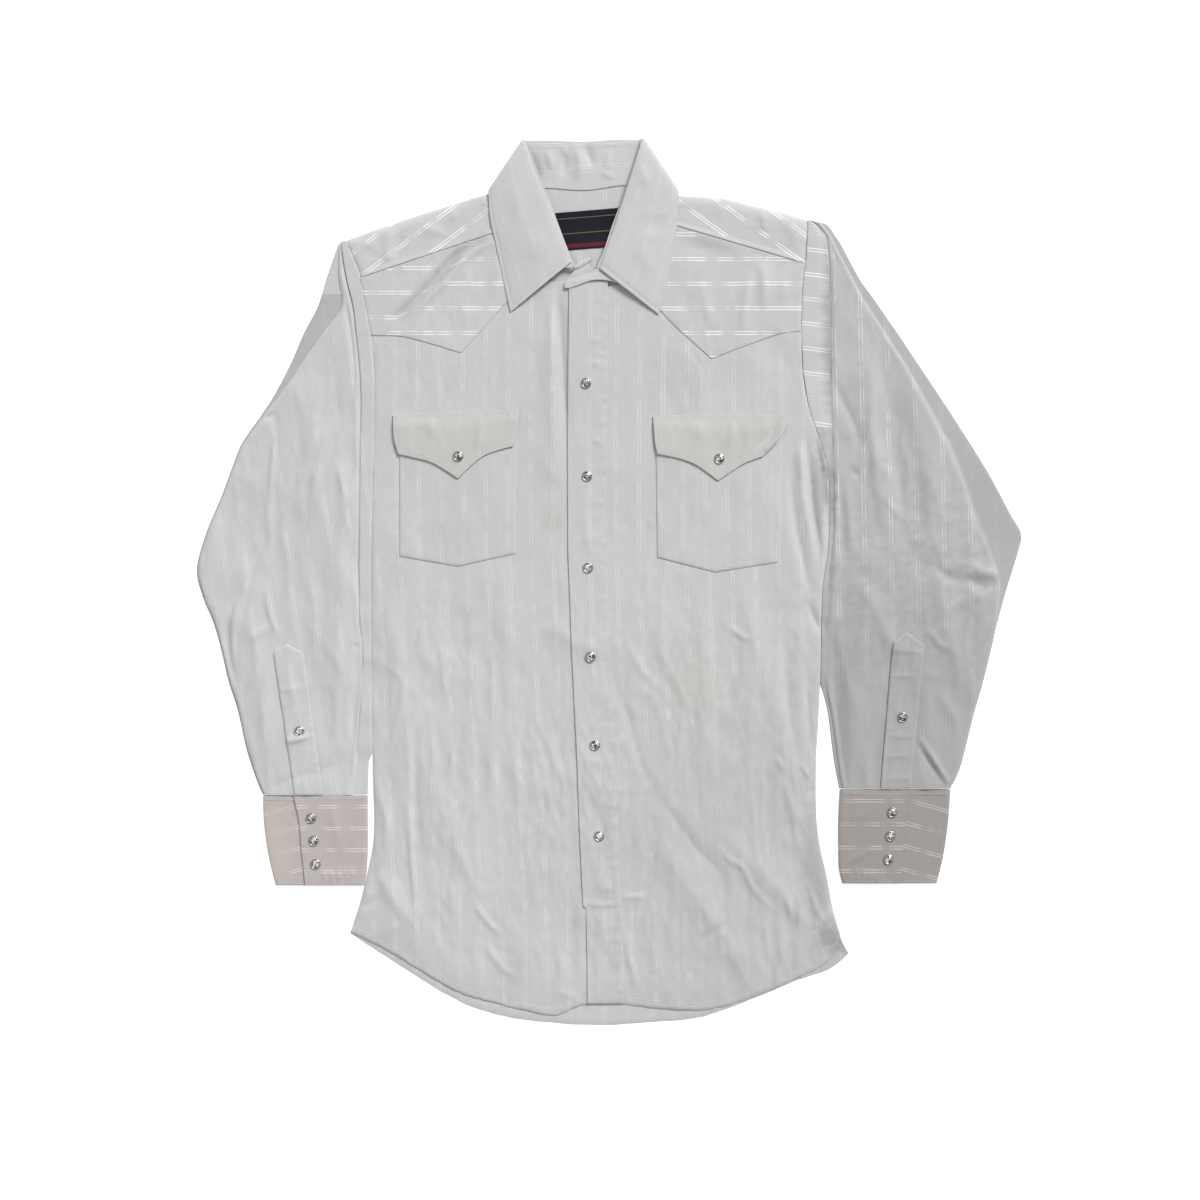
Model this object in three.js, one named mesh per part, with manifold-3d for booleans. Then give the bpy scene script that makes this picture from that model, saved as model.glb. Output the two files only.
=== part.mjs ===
// A western snap shirt laid flat, face up, with its sleeves turned down beside the body.
// Millimetres, +Z up. +Y points to the collar and +X to the wearer's left side, which is on the
// right when the shirt is seen from above. The shirt rests on the plane z = 0.
// Left and right in the names of the pieces are the wearer's.
import * as THREE from "three";
import { mergeVertices } from "three/addons/utils/BufferGeometryUtils.js";
import Module from "manifold-3d";

const wasm = await Module();
wasm.setup();

// Driving sizes
const CLOTH = 1.0; // wall of one layer of shirting
const FUSED = 1.2; // wall of the interfaced collar, cuffs and flaps
const GAP = 0.3; // between pieces that are sewn or lie together
const SEAM = 0.6; // half of the room at the armhole and between fronts, whose edges are curved
const LAYER = CLOTH + GAP; // from one layer to the next
const FULLNESS = 1.6; // how far the front stands off the back
const ROLL = 6; // reach of the rounded edge of the body
const HEM_ROLL = 14; // reach of the fall towards the hem
const SLEEVE_LOFT = 3.4; // from the lower layer of a sleeve to its upper layer
const LAP = 24; // overlap at a cuff
const SNAP = { rim: 5.3, bore: 4.0, rimHigh: 1.5, pearl: 3.7, pearlHigh: 2.1, sides: 12 };
const LABEL = { wide: 80, high: 38, thick: 0.6, x: -24, y: 352, tilt: 0.08 };

// Rows of a table as objects with the named columns.
const table = (columns, ...rows) =>
  rows.map((row) => Object.fromEntries(columns.split(" ").map((name, i) => [name, row[i]])));

// Armhole and side of the body, from the shoulder down to the corner of the hem.
const RIGHT_ARMHOLE = table("x y", [-265, 341], [-249.5, 305], [-244.5, 276], [-239, 249], [-236, 219]);
const LEFT_ARMHOLE = table("x y", [198.7, 362], [197.2, 336], [196.1, 319], [193.6, 301], [192.6, 283],
  [192, 263], [192, 247], [193.4, 211]);
const RIGHT_SIDE = table("x y", [-236, 219], [-235.5, 190], [-235.5, 165], [-236, 141], [-237, 80],
  [-238, 21], [-238, -99], [-237, -185], [-236, -257], [-240, -281], [-247, -312], [-260, -353]);
const LEFT_SIDE = table("x y", [193.4, 211], [199.3, 175], [207.5, 150], [211.5, 139], [217, 120],
  [219.7, 101], [220.2, 67], [219, 36], [216, 13], [213.5, -5], [212, -41], [211.3, -90], [209.5, -134],
  [207, -179], [207.5, -239], [211, -267], [217, -293], [224, -329], [232, -358]);

// Hems, from the wearer's right to the left. The back hem shows below the front one.
const BACK_HEM = table("x y", [-260, -353], [-226, -375], [-195, -395], [-162, -415], [-135, -428],
  [-101, -437], [-64, -442], [-10, -445], [40, -442], [91, -437], [143, -419], [186, -401], [224, -387],
  [240, -373]);
const FRONT_HEM_RIGHT = table("x y", [-259, -352], [-221, -371], [-195, -388], [-172, -403], [-145, -417],
  [-118, -424], [-60, -426], [9, -423]);
const FRONT_HEM_LEFT = table("x y", [11, -425], [58, -429], [92, -430], [119, -425], [142, -417],
  [186, -399], [220, -380], [232, -358]);

// Front band: the free edge and the stitched edge at each level.
const BAND = table("y free sewn", [288, -40, -2], [240, -41, -2], [157, -42, -2.7], [31, -41.5, -3],
  [-75, -37.5, 1.5], [-177, -32.5, 5], [-250, -30, 8.6], [-322, -26.5, 12], [-372, -25.5, 13.5],
  [-423, -25, 14.5]);

// Soft ridges of the front, each from one end to the other, with its width and height.
const FRONT_FOLDS = table("x1 y1 x2 y2 wide high", [-56, 250, -50, 90, 12, 1.4], [38, -240, 150, -400, 16, 2.2],
  [118, -255, 205, -352, 16, 2.0], [-190, -160, -120, -330, 16, 1.8], [-232, -290, -196, -345, 12, 1.8],
  [-60, -330, -96, -405, 14, 1.6], [150, -60, 196, -250, 18, 1.6], [-215, -60, -196, -230, 16, 1.6]);
const YOKE_FOLDS = table("x1 y1 x2 y2 wide high", [-138, 338, -207, 261, 9, 1.6], [-172, 330, -190, 300, 6, 0.8],
  [120, 330, 178, 300, 12, 0.8]);
const SLEEVE_FOLDS = table("x1 y1 x2 y2 wide high", [-292, 210, -300, -30, 14, 2.2],
  [-372, 40, -340, -160, 14, 2.0], [-268, 180, -270, -160, 12, 1.8], [252, 270, 272, 40, 14, 2.4],
  [300, 200, 330, 20, 16, 2.2], [262, 30, 250, -180, 14, 2.2], [330, 10, 352, -110, 14, 1.8],
  [300, 60, 382, 34, 12, 2.0]);

const clamp = (value) => Math.min(1, Math.max(0, value));
const mix = (a, b, t) => a + (b - a) * t;
// Height of a rounded edge, from 0 at the edge to 1 at its reach.
const rounded = (distance, reach) => Math.sqrt(1 - (1 - clamp(distance / reach)) ** 2);

// Height that a table of folds adds at a point.
function folds(rows, x, y) {
  let height = 0;
  for (const { x1, y1, x2, y2, wide, high } of rows) {
    const along = clamp(((x - x1) * (x2 - x1) + (y - y1) * (y2 - y1)) / ((x2 - x1) ** 2 + (y2 - y1) ** 2));
    const off = Math.hypot(x - mix(x1, x2, along), y - mix(y1, y2, along));
    height += high * Math.exp(-((off / wide) ** 2)) * (0.35 + 0.65 * Math.sin(Math.PI * along));
  }
  return height;
}

// A line of one or more smooth legs, with a corner between legs.
function edge(...legs) {
  const path = new THREE.CurvePath();
  for (const rows of legs) {
    const points = rows.map(({ x, y }) => new THREE.Vector3(x, y, 0));
    path.add(new THREE.CatmullRomCurve3(points, false, "centripetal"));
  }
  return path;
}

// Where the corners of an edge lie, from 0 to 1 along it.
function corners(path) {
  const lengths = path.getCurveLengths();
  return lengths.slice(0, -1).map((length) => length / lengths.at(-1));
}

// About count steps from 0 to 1, with a step on each stop.
function steps(count, stops = []) {
  const ends = [...stops, 1];
  const made = [0];
  for (const end of ends) {
    const start = made.at(-1);
    const cells = Math.max(1, Math.round(count * (end - start)));
    for (let i = 1; i <= cells; i++) made.push(mix(start, end, i / cells));
  }
  return made;
}

// Middle surface of a panel inside four edges. top and bottom run from -X to +X, left and right run
// down. height gives z from x, y and the shares across and down.
function panel({ top, bottom, left, right, across, down, height }) {
  const corner = [top.getPoint(0), top.getPoint(1), bottom.getPoint(0), bottom.getPoint(1)];
  return down.map((v) => across.map((u) => {
    const [a, b, c, d] = [top.getPoint(u), bottom.getPoint(u), left.getPoint(v), right.getPoint(v)];
    const at = (axis) => mix(a[axis], b[axis], v) + mix(c[axis], d[axis], u) -
      mix(mix(corner[0][axis], corner[1][axis], u), mix(corner[2][axis], corner[3][axis], u), v);
    const [x, y] = [at("x"), at("y")];
    return new THREE.Vector3(x, y, height(x, y, u, v));
  }));
}

// Closed wall of the given thickness, half on each side of a grid of points. A ring's rows close on
// themselves and leave its two ends open.
function wall(rows, thickness, ring = false) {
  const [down, across] = [rows.length, rows[0].length];
  const pick = (i, j) => rows[Math.min(down - 1, Math.max(0, i))][
    ring ? (j + across) % across : Math.min(across - 1, Math.max(0, j))];
  const sides = [[], []];
  for (let i = 0; i < down; i++) {
    for (let j = 0; j < across; j++) {
      const alongRow = pick(i, j + 1).clone().sub(pick(i, j - 1));
      const downRows = pick(i + 1, j).clone().sub(pick(i - 1, j));
      const normal = downRows.cross(alongRow).setLength(thickness / 2);
      sides[0].push(rows[i][j].clone().add(normal));
      sides[1].push(rows[i][j].clone().sub(normal));
    }
  }
  const position = [...sides[0], ...sides[1]].flatMap((p) => p.toArray());
  const at = (side, i, j) => side * down * across + i * across + (ring ? j % across : j);
  const index = [];
  const face = (a, b, c, d) => index.push(a, b, c, a, c, d);
  const last = ring ? across : across - 1;
  for (let i = 0; i < down - 1; i++) {
    for (let j = 0; j < last; j++) {
      face(at(0, i, j), at(0, i + 1, j), at(0, i + 1, j + 1), at(0, i, j + 1));
      face(at(1, i, j), at(1, i, j + 1), at(1, i + 1, j + 1), at(1, i + 1, j));
    }
  }
  for (let j = 0; j < last; j++) {
    face(at(0, 0, j), at(0, 0, j + 1), at(1, 0, j + 1), at(1, 0, j));
    face(at(0, down - 1, j), at(1, down - 1, j), at(1, down - 1, j + 1), at(0, down - 1, j + 1));
  }
  for (let i = 0; !ring && i < down - 1; i++) {
    face(at(0, i, 0), at(1, i, 0), at(1, i + 1, 0), at(0, i + 1, 0));
    face(at(0, i, last), at(0, i + 1, last), at(1, i + 1, last), at(1, i, last));
  }
  return new THREE.BufferGeometry()
    .setAttribute("position", new THREE.Float32BufferAttribute(position, 3))
    .setIndex(index);
}

// Several overlapping closed shapes as one.
function joined(...geometries) {
  const solids = geometries.map((geometry) => {
    const bare = mergeVertices(geometry, 1e-3);
    const mesh = new wasm.Mesh({
      numProp: 3,
      vertProperties: bare.attributes.position.array,
      triVerts: new Uint32Array(bare.index.array),
    });
    return new wasm.Manifold(mesh);
  });
  const { vertProperties, triVerts } = solids.reduce((whole, next) => whole.add(next)).getMesh();
  return new THREE.BufferGeometry()
    .setAttribute("position", new THREE.BufferAttribute(vertProperties, 3))
    .setIndex(new THREE.BufferAttribute(triVerts, 1));
}

const shirt = new THREE.Group();
const shirting = new THREE.MeshStandardMaterial({ color: 0xd6d8d8, roughness: 0.75 });
const fusedCloth = new THREE.MeshStandardMaterial({ color: 0xd6d2cf, roughness: 0.7 });
const nickel = new THREE.MeshStandardMaterial({ color: 0xa8a8a6, roughness: 0.25, metalness: 1 });
const pearl = new THREE.MeshStandardMaterial({ color: 0xe8e8e4, roughness: 0.15 });
const wovenLabel = new THREE.MeshStandardMaterial({ color: 0x1c2238, roughness: 0.8 });

function add(name, geometry, material) {
  geometry.computeVertexNormals();
  const mesh = new THREE.Mesh(geometry, material.clone());
  mesh.name = name;
  shirt.add(mesh);
}

// Middle height of the front, away from its edges, and of what lies on it.
const FRONT_LEVEL = LAYER + CLOTH / 2;
const frontHeight = (x, y) => FRONT_LEVEL + FULLNESS + folds(FRONT_FOLDS, x, y);
const ON_BACK = CLOTH / 2;

// Back body: the flat layer that everything rests on, below the yoke seam.
const YOKE_POINT = { x: -18, y: 172 };
const YOKE_SEAM_RIGHT = table("x y", [-236, 219], [-170, 226], [-96, 214], [YOKE_POINT.x, YOKE_POINT.y]);
const YOKE_SEAM_LEFT = table("x y", [YOKE_POINT.x, YOKE_POINT.y], [60, 214], [132, 226], [193.4, 211]);
const lowered = (rows, by) => rows.map(({ x, y }) => ({ x, y: y - by }));
const backTop = edge(lowered(YOKE_SEAM_RIGHT, SEAM), lowered(YOKE_SEAM_LEFT, SEAM));
add("back_body", wall(panel({
  top: backTop,
  bottom: edge(BACK_HEM),
  left: edge([{ x: -236, y: 219 - SEAM }, ...RIGHT_SIDE.slice(1)]),
  right: edge([{ x: 193.4, y: 211 - SEAM }, ...LEFT_SIDE.slice(1), { x: 240, y: -373 }]),
  across: steps(20, corners(backTop)),
  down: steps(14),
  height: () => ON_BACK,
}), CLOTH), shirting);

// Back yoke: the flat part under the shoulders, and a strip that turns over each shoulder to the
// seam of the front yoke. It lifts a little at the neck, over the turned-down collar.
const RIGHT_SHOULDER = table("x y", [-265, 341], [-227, 355], [-172, 373], [-120, 388], [-86, 392]);
const LEFT_SHOULDER = table("x y", [40, 389], [72, 386], [112, 384], [141, 377], [170, 370], [198.7, 362]);
const BACK_NECK = table("x y", [-86, 392], [-68, 391], [-24, 389], [19, 392], [40, 389]);
const RIGHT_SHOULDER_SEAM = table("x y", [-249.5, 305], [-187, 326], [-124, 347], [-90, 358]);
const LEFT_SHOULDER_SEAM = table("x y", [44, 364], [69, 356.6], [132, 338], [196.1, 319]);
const COLLAR_UNDER = { edge: 380, reach: 24, halfWide: 108, middle: -24 };
function yokeLift(x, y) {
  const inward = clamp((y - COLLAR_UNDER.edge + COLLAR_UNDER.reach) / COLLAR_UNDER.reach);
  const sideways = clamp((COLLAR_UNDER.halfWide + 14 - Math.abs(x - COLLAR_UNDER.middle)) / 14);
  return (FUSED + GAP) * inward * sideways;
}
function shoulderStrip(fold, seam, armhole, neck) {
  const [left, right] = armhole[0].x < 0 ? [armhole, neck] : [neck, armhole];
  return wall(panel({
    top: edge(fold),
    bottom: edge(seam),
    left: edge(left),
    right: edge(right),
    across: steps(6),
    down: [0, 0.04, 0.12, 0.3, 0.65, 1],
    height: (x, y, u, v) => {
      const drop = armhole[0].x < 0 ? u : 1 - u;
      const level = LAYER + (FULLNESS + 1) * rounded(drop * 130, ROLL);
      return ON_BACK + yokeLift(x, y) + (level - yokeLift(x, y)) * rounded(v, 0.25);
    },
  }), CLOTH);
}
const yokeBottom = edge(YOKE_SEAM_RIGHT, YOKE_SEAM_LEFT);
add("back_yoke", joined(
  wall(panel({
    top: edge([...RIGHT_SHOULDER, ...BACK_NECK.slice(1, -1), ...LEFT_SHOULDER]),
    bottom: yokeBottom,
    left: edge(RIGHT_ARMHOLE),
    right: edge(LEFT_ARMHOLE),
    across: steps(18, corners(yokeBottom)),
    down: [0, 0.06, 0.14, 0.3, 0.6, 1],
    height: (x, y) => ON_BACK + yokeLift(x, y),
  }), CLOTH),
  shoulderStrip(RIGHT_SHOULDER, RIGHT_SHOULDER_SEAM, RIGHT_ARMHOLE.slice(0, 2),
    table("x y", [-86, 392], [-90, 358])),
  shoulderStrip(LEFT_SHOULDER, LEFT_SHOULDER_SEAM, LEFT_ARMHOLE.slice(0, 3),
    table("x y", [40, 389], [44, 364])),
), shirting);

// Inner yoke, built where it shows through the neck.
const innerYokeHeight = (x, y) => ON_BACK + LAYER + GAP + yokeLift(x, y);
add("inner_yoke", wall(panel({
  top: edge(table("x y", [-80, 389], [-24, 387], [30, 389])),
  bottom: edge(table("x y", [-80, 296], [30, 296])),
  left: edge(table("x y", [-80, 389], [-80, 296])),
  right: edge(table("x y", [30, 389], [30, 296])),
  across: steps(6),
  down: [0, 0.1, 0.2, 0.36, 1],
  height: innerYokeHeight,
}), CLOTH), shirting);

// Woven label on the inner yoke.
const label = new THREE.BoxGeometry(LABEL.wide, LABEL.high, LABEL.thick);
label.deleteAttribute("normal");
label.deleteAttribute("uv");
label.rotateZ(LABEL.tilt);
label.translate(LABEL.x, LABEL.y, innerYokeHeight(LABEL.x, 370) + CLOTH / 2 + GAP + LABEL.thick / 2 + 0.4);
add("label", label, wovenLabel);

// Fronts. Each falls to the back at the armhole, side and hem, and they part under the front band.
function front({ top, bottom, left, right, outerIsLeft }) {
  const inwards = [0, 0.008, 0.026, 0.075, 0.17, 0.28, 0.4, 0.52, 0.64, 0.76, 0.88, 1];
  return wall(panel({
    top,
    bottom,
    left,
    right,
    across: outerIsLeft ? inwards : inwards.map((u) => 1 - u).reverse(),
    down: [...steps(22).slice(0, -1), 0.985, 1],
    height: (x, y, u, v) => {
      const side = rounded((outerIsLeft ? u : 1 - u) * 230, ROLL);
      const hem = rounded((1 - v) * 700, HEM_ROLL);
      return FRONT_LEVEL + (FULLNESS * side + folds(FRONT_FOLDS, x, y) * side) * hem;
    },
  }), CLOTH);
}
add("front_right", front({
  top: edge(table("x y", [-240.4, 257], [-208, 257], [-154, 243], [-110, 290], [-60, 300], [-8, 294])),
  bottom: edge(FRONT_HEM_RIGHT),
  left: edge([{ x: -240.4, y: 257 }, ...RIGHT_SIDE.slice(0, -1), { x: -259, y: -352 }]),
  right: edge([{ x: -8, y: 294 }, ...BAND.slice(1, -1).map(({ y, sewn }) => ({ x: sewn - 6, y })),
    { x: 9, y: -423 }]),
  outerIsLeft: true,
}), shirting);
add("front_left", front({
  top: edge(table("x y", [-6, 294], [30, 300], [64, 286], [106, 240], [150, 256], [192, 263])),
  bottom: edge(FRONT_HEM_LEFT),
  left: edge([{ x: -6, y: 294 }, ...BAND.slice(1, -1).map(({ y, sewn }) => ({ x: sewn - 4, y })),
    { x: 11, y: -425 }]),
  right: edge([{ x: 192, y: 263 }, ...LEFT_SIDE]),
  outerIsLeft: false,
}), shirting);

// Height of the middle of a piece that lies on the front, a number of layers up.
const onFront = (layers, extra = 0) => (x, y) => frontHeight(x, y) + layers * LAYER + GAP + extra;

// Front yokes: pointed, lapped over the top of each front.
function frontYoke({ shoulder, lower, armhole, neck, outerIsLeft }) {
  const bottom = edge(...lower);
  const [left, right] = outerIsLeft ? [armhole, neck] : [neck, armhole];
  const corner = corners(bottom);
  return wall(panel({
    top: edge(shoulder),
    bottom,
    left: edge(left),
    right: edge(right),
    across: outerIsLeft ? [0, 0.03, ...steps(14, corner).slice(1)] : [...steps(14, corner).slice(0, -1), 0.97, 1],
    down: steps(8),
    height: (x, y, u) => FRONT_LEVEL + LAYER + 2 * GAP +
      (FULLNESS + folds(YOKE_FOLDS, x, y)) * rounded((outerIsLeft ? u : 1 - u) * 180, ROLL),
  }), CLOTH);
}
const RIGHT_POINT = { x: -148.4, y: 228.4 };
const LEFT_POINT = { x: 102, y: 222.6 };
add("front_yoke_right", frontYoke({
  shoulder: lowered(RIGHT_SHOULDER_SEAM, 1.6),
  lower: [
    [...table("x y", [-239, 246], [-208, 245], [-180, 238]), RIGHT_POINT],
    [RIGHT_POINT, ...table("x y", [-107, 275], [-66, 322])],
  ],
  armhole: table("x y", [-249.5, 303.4], [-244.5, 276], [-239, 246]),
  neck: table("x y", [-90, 356.4], [-79, 339], [-66, 322]),
  outerIsLeft: true,
}), shirting);
add("front_yoke_left", frontYoke({
  shoulder: lowered(LEFT_SHOULDER_SEAM, 1.6),
  lower: [
    [...table("x y", [18, 320], [52, 270]), LEFT_POINT],
    [LEFT_POINT, ...table("x y", [140, 237], [176, 249], [191.6, 250])],
  ],
  armhole: table("x y", [196.1, 317.4], [193.6, 301], [192.6, 283], [191.6, 250]),
  neck: table("x y", [44, 362.4], [30, 341], [18, 320]),
  outerIsLeft: false,
}), shirting);

// Front band, lapped over both fronts.
add("front_band", wall(BAND.flatMap((row, i) => {
  const next = BAND[i + 1];
  const rows = next ? [0, 0.5].map((t) => ({
    y: mix(row.y, next.y, t),
    free: mix(row.free, next.free, t),
    sewn: mix(row.sewn, next.sewn, t),
  })) : [row];
  return rows.map(({ y, free, sewn }) => [0, 0.33, 0.67, 1].map((u) => {
    const x = mix(free, sewn, u);
    return new THREE.Vector3(x, y, onFront(1)(x, y));
  }));
}), CLOTH), shirting);

// Pockets, each with a pointed lower edge.
function pocket({ top, left, right, point }) {
  const bottom = edge([left.at(-1), point], [point, right.at(-1)]);
  return wall(panel({
    top: edge(top),
    bottom,
    left: edge(left),
    right: edge(right),
    across: steps(8, corners(bottom)),
    down: steps(7),
    height: onFront(1),
  }), CLOTH);
}
add("pocket_right", pocket({
  top: table("x y", [-210, 154], [-92.5, 157]),
  left: table("x y", [-210, 154], [-210, 90], [-209.6, 25]),
  right: table("x y", [-92.5, 157], [-93, 90], [-93.5, 28]),
  point: { x: -152, y: 15 },
}), shirting);
add("pocket_left", pocket({
  top: table("x y", [46.4, 151], [173, 151]),
  left: table("x y", [46.4, 151], [47, 90], [48, 24]),
  right: table("x y", [173, 151], [171, 80], [168, 19]),
  point: { x: 105.3, y: 9.2 },
}), shirting);

// Pocket flaps: each lower edge runs in two hollow curves to a point under the snap.
function flap({ top, lowerRight, lowerLeft, left, right }) {
  const bottom = edge(lowerRight, lowerLeft);
  return wall(panel({
    top: edge(top),
    bottom,
    left: edge(left),
    right: edge(right),
    across: steps(12, corners(bottom)),
    down: steps(4),
    height: onFront(2, 0.3),
  }), FUSED);
}
add("flap_right", flap({
  top: table("x y", [-216.6, 166], [-150, 169.5], [-90.3, 171.2]),
  lowerRight: table("x y", [-211, 127], [-198, 124], [-179, 119], [-166, 112], [-151.6, 102.4]),
  lowerLeft: table("x y", [-151.6, 102.4], [-138, 115.5], [-125.4, 125.3], [-112, 130.5], [-96, 135]),
  left: table("x y", [-216.6, 166], [-215.4, 142], [-211, 127]),
  right: table("x y", [-90.3, 171.2], [-92, 148], [-96, 135]),
}), fusedCloth);
add("flap_left", flap({
  top: table("x y", [43.4, 165], [110, 167.5], [175.4, 165.5]),
  lowerRight: table("x y", [48, 127], [68.3, 122.8], [84.8, 117], [96.3, 109.4], [108.4, 100.4]),
  lowerLeft: table("x y", [108.4, 100.4], [124.4, 111.3], [135.9, 118.3], [153, 124.5]),
  left: table("x y", [43.4, 165], [45.6, 137], [48, 127]),
  right: table("x y", [175.4, 165.5], [174.5, 152], [164, 136], [153, 124.5]),
}), fusedCloth);

// Sleeves: flattened tubes. At each level, left and right are the ends of the lower layer, and
// leftFold and rightFold are where the upper layer begins and ends, so that the lower one shows
// beside it. Beside the body the lower layer reaches the armhole.
const RIGHT_SLEEVE = table("y left leftFold rightFold right", [334, -273, -271, -268, -263.6],
  [305, -283, -271, -264, -250.6], [276, -292, -268, -257, -245.6], [249, -306, -287, -254, -240.1],
  [219, -319, -308, -251, -237.1], [190, -334, -328, -249, -236.7], [168, -348, -345, -249, -236.8],
  [139, -368, -365, -250, -238], [112, -379, -376, -250, -239.5], [85, -389, -386, -250.5, -240],
  [49, -404, -401, -250.5, -240], [13, -413.5, -410, -251, -240], [-14, -408, -405, -250.5, -240.2],
  [-41, -397, -394, -250, -240.5], [-67, -389.5, -386, -247, -241], [-99, -382, -379, -247.5, -241],
  [-131, -372, -369, -250, -240.5], [-167, -364, -361, -253, -241], [-195, -355, -352, -255.5, -241.5],
  [-213.4, -347.5, -345, -257, -242]);
const LEFT_SLEEVE = table("y left leftFold rightFold right", [355, 199.6, 207, 212, 218],
  [336, 198.6, 219, 226, 233], [319, 197.4, 221, 235, 242], [301, 195, 221.5, 245, 252],
  [283, 193.9, 222, 254, 265], [247, 193.3, 222, 277, 290], [211, 194.7, 222.5, 300, 314],
  [175, 200.8, 223, 320, 338], [150, 209.6, 223.5, 333, 354], [136, 221, 224, 341, 363],
  [103, 221.7, 225, 354, 383], [67, 222, 225, 366, 402], [48, 221.4, 224.5, 373, 412.5],
  [31, 220, 223, 380, 410], [-5, 215.8, 219, 391, 399], [-41, 214, 217, 386, 389],
  [-69, 213.3, 216, 379, 382.5], [-105, 213.5, 217, 370, 373.5], [-131, 219, 222, 363, 366],
  [-167, 223.5, 227, 354, 357], [-190, 227, 230, 347, 350.5], [-207.4, 230.5, 233, 339, 342]);
const sleeveHeight = (x, y) => ON_BACK + SLEEVE_LOFT + folds(SLEEVE_FOLDS, x, y);
function sleeve(rows) {
  const ledge = ON_BACK + LAYER;
  const upper = [0.02, 0.08, 0.22, 0.36, 0.5, 0.64, 0.78, 0.92, 0.98];
  const lower = [0.85, 0.6, 0.35, 0.15];
  return wall(rows.map(({ y, left, leftFold, rightFold, right }) => {
    const at = (x, z) => new THREE.Vector3(x, y, z);
    const overlay = upper.map((u) => {
      const x = mix(leftFold, rightFold, u);
      const drop = rounded(Math.min(u, 1 - u) * (rightFold - leftFold) + 1.2, 5);
      return at(x, mix(ledge, sleeveHeight(x, y), drop));
    });
    return [
      at(left, (ledge + ON_BACK) / 2),
      at(mix(left, leftFold, 0.3), ledge),
      at(mix(left, leftFold, 0.9), ledge + 0.1),
      ...overlay,
      at(mix(right, rightFold, 0.9), ledge + 0.1),
      at(mix(right, rightFold, 0.3), ledge),
      at(right, (ledge + ON_BACK) / 2),
      at(mix(right, rightFold, 0.3), ON_BACK),
      ...lower.map((u) => at(mix(leftFold, rightFold, u), ON_BACK)),
      at(mix(left, leftFold, 0.3), ON_BACK),
    ];
  }), CLOTH, true);
}
add("sleeve_right", sleeve(RIGHT_SLEEVE), shirting);
add("sleeve_left", sleeve(LEFT_SLEEVE), shirting);

// Sleeve plackets: pointed strips on the sleeves, from the cuff up.
function sleevePlacket({ point, upper, lower }) {
  const shoulders = [{ x: upper.left, y: upper.y }, point, { x: upper.right, y: upper.yRight }];
  const top = edge(shoulders.slice(0, 2), shoulders.slice(1));
  return wall(panel({
    top,
    bottom: edge(table("x y", [lower.left, lower.y], [lower.right, lower.y])),
    left: edge([shoulders[0], { x: lower.left, y: lower.y }]),
    right: edge([shoulders[2], { x: lower.right, y: lower.y }]),
    across: steps(4, corners(top)),
    down: steps(8),
    height: (x, y) => sleeveHeight(x, y) + LAYER + GAP,
  }), CLOTH);
}
add("sleeve_placket_right", sleevePlacket({
  point: { x: -323.3, y: -62.3 },
  upper: { left: -336, right: -306, y: -71.5, yRight: -72 },
  lower: { left: -315, right: -286.5, y: -212 },
}), shirting);
add("sleeve_placket_left", sleevePlacket({
  point: { x: 296.5, y: -49.7 },
  upper: { left: 283.5, right: 315.6, y: -61, yRight: -64.6 },
  lower: { left: 271, right: 301.8, y: -206 },
}), shirting);

// Cuffs: a band round the wrist whose upper end laps over the lower one. lap is the free edge.
function cuff(rows, topEndIsRight) {
  const [under, inside, over] = [FUSED / 2, FUSED * 1.5 + GAP, FUSED * 2.5 + 2 * GAP];
  return wall(rows.map(({ y, left, right, lap }) => {
    const [near, far] = topEndIsRight ? [left, right] : [right, left];
    const inwards = Math.sign(far - near);
    const end = lap + inwards * LAP;
    const at = (x, z) => new THREE.Vector3(x, y, z);
    return [
      at(end, inside),
      at(mix(end, near, 0.5), inside),
      at(near + inwards * 3, inside),
      at(near + inwards * 0.6, mix(under, inside, 0.75)),
      at(near + inwards * 0.6, mix(under, inside, 0.25)),
      at(near + inwards * 3, under),
      at(mix(near, far, 0.5), under),
      at(far - inwards * 3, under),
      at(far - inwards * 0.6, mix(under, inside, 0.3)),
      at(far - inwards * 0.6, mix(under, inside, 0.9)),
      at(far - inwards * 3, inside + 0.4),
      at(mix(end, far, 0.55), inside + 0.9),
      at(end + inwards * 3, over + 0.1),
      at(mix(end, lap, 0.5), over),
      at(lap, over),
    ];
  }), FUSED);
}
const RIGHT_CUFF = table("y left right lap", [-214.4, -347.5, -241.8, -316.4], [-241, -346.6, -241.8, -310.6],
  [-269, -343, -241.8, -308.3], [-290, -338.5, -243, -306], [-304.5, -334.6, -245.2, -304.6]);
const LEFT_CUFF = table("y left right lap", [-208.4, 230.5, 342, 300.7], [-239, 229, 340, 296.6],
  [-269, 229, 336, 293.8], [-288, 229.6, 332, 292.2], [-302.5, 233, 328.2, 291.5]);
add("cuff_right", cuff(RIGHT_CUFF, true), fusedCloth);
add("cuff_left", cuff(LEFT_CUFF, false), fusedCloth);

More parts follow.
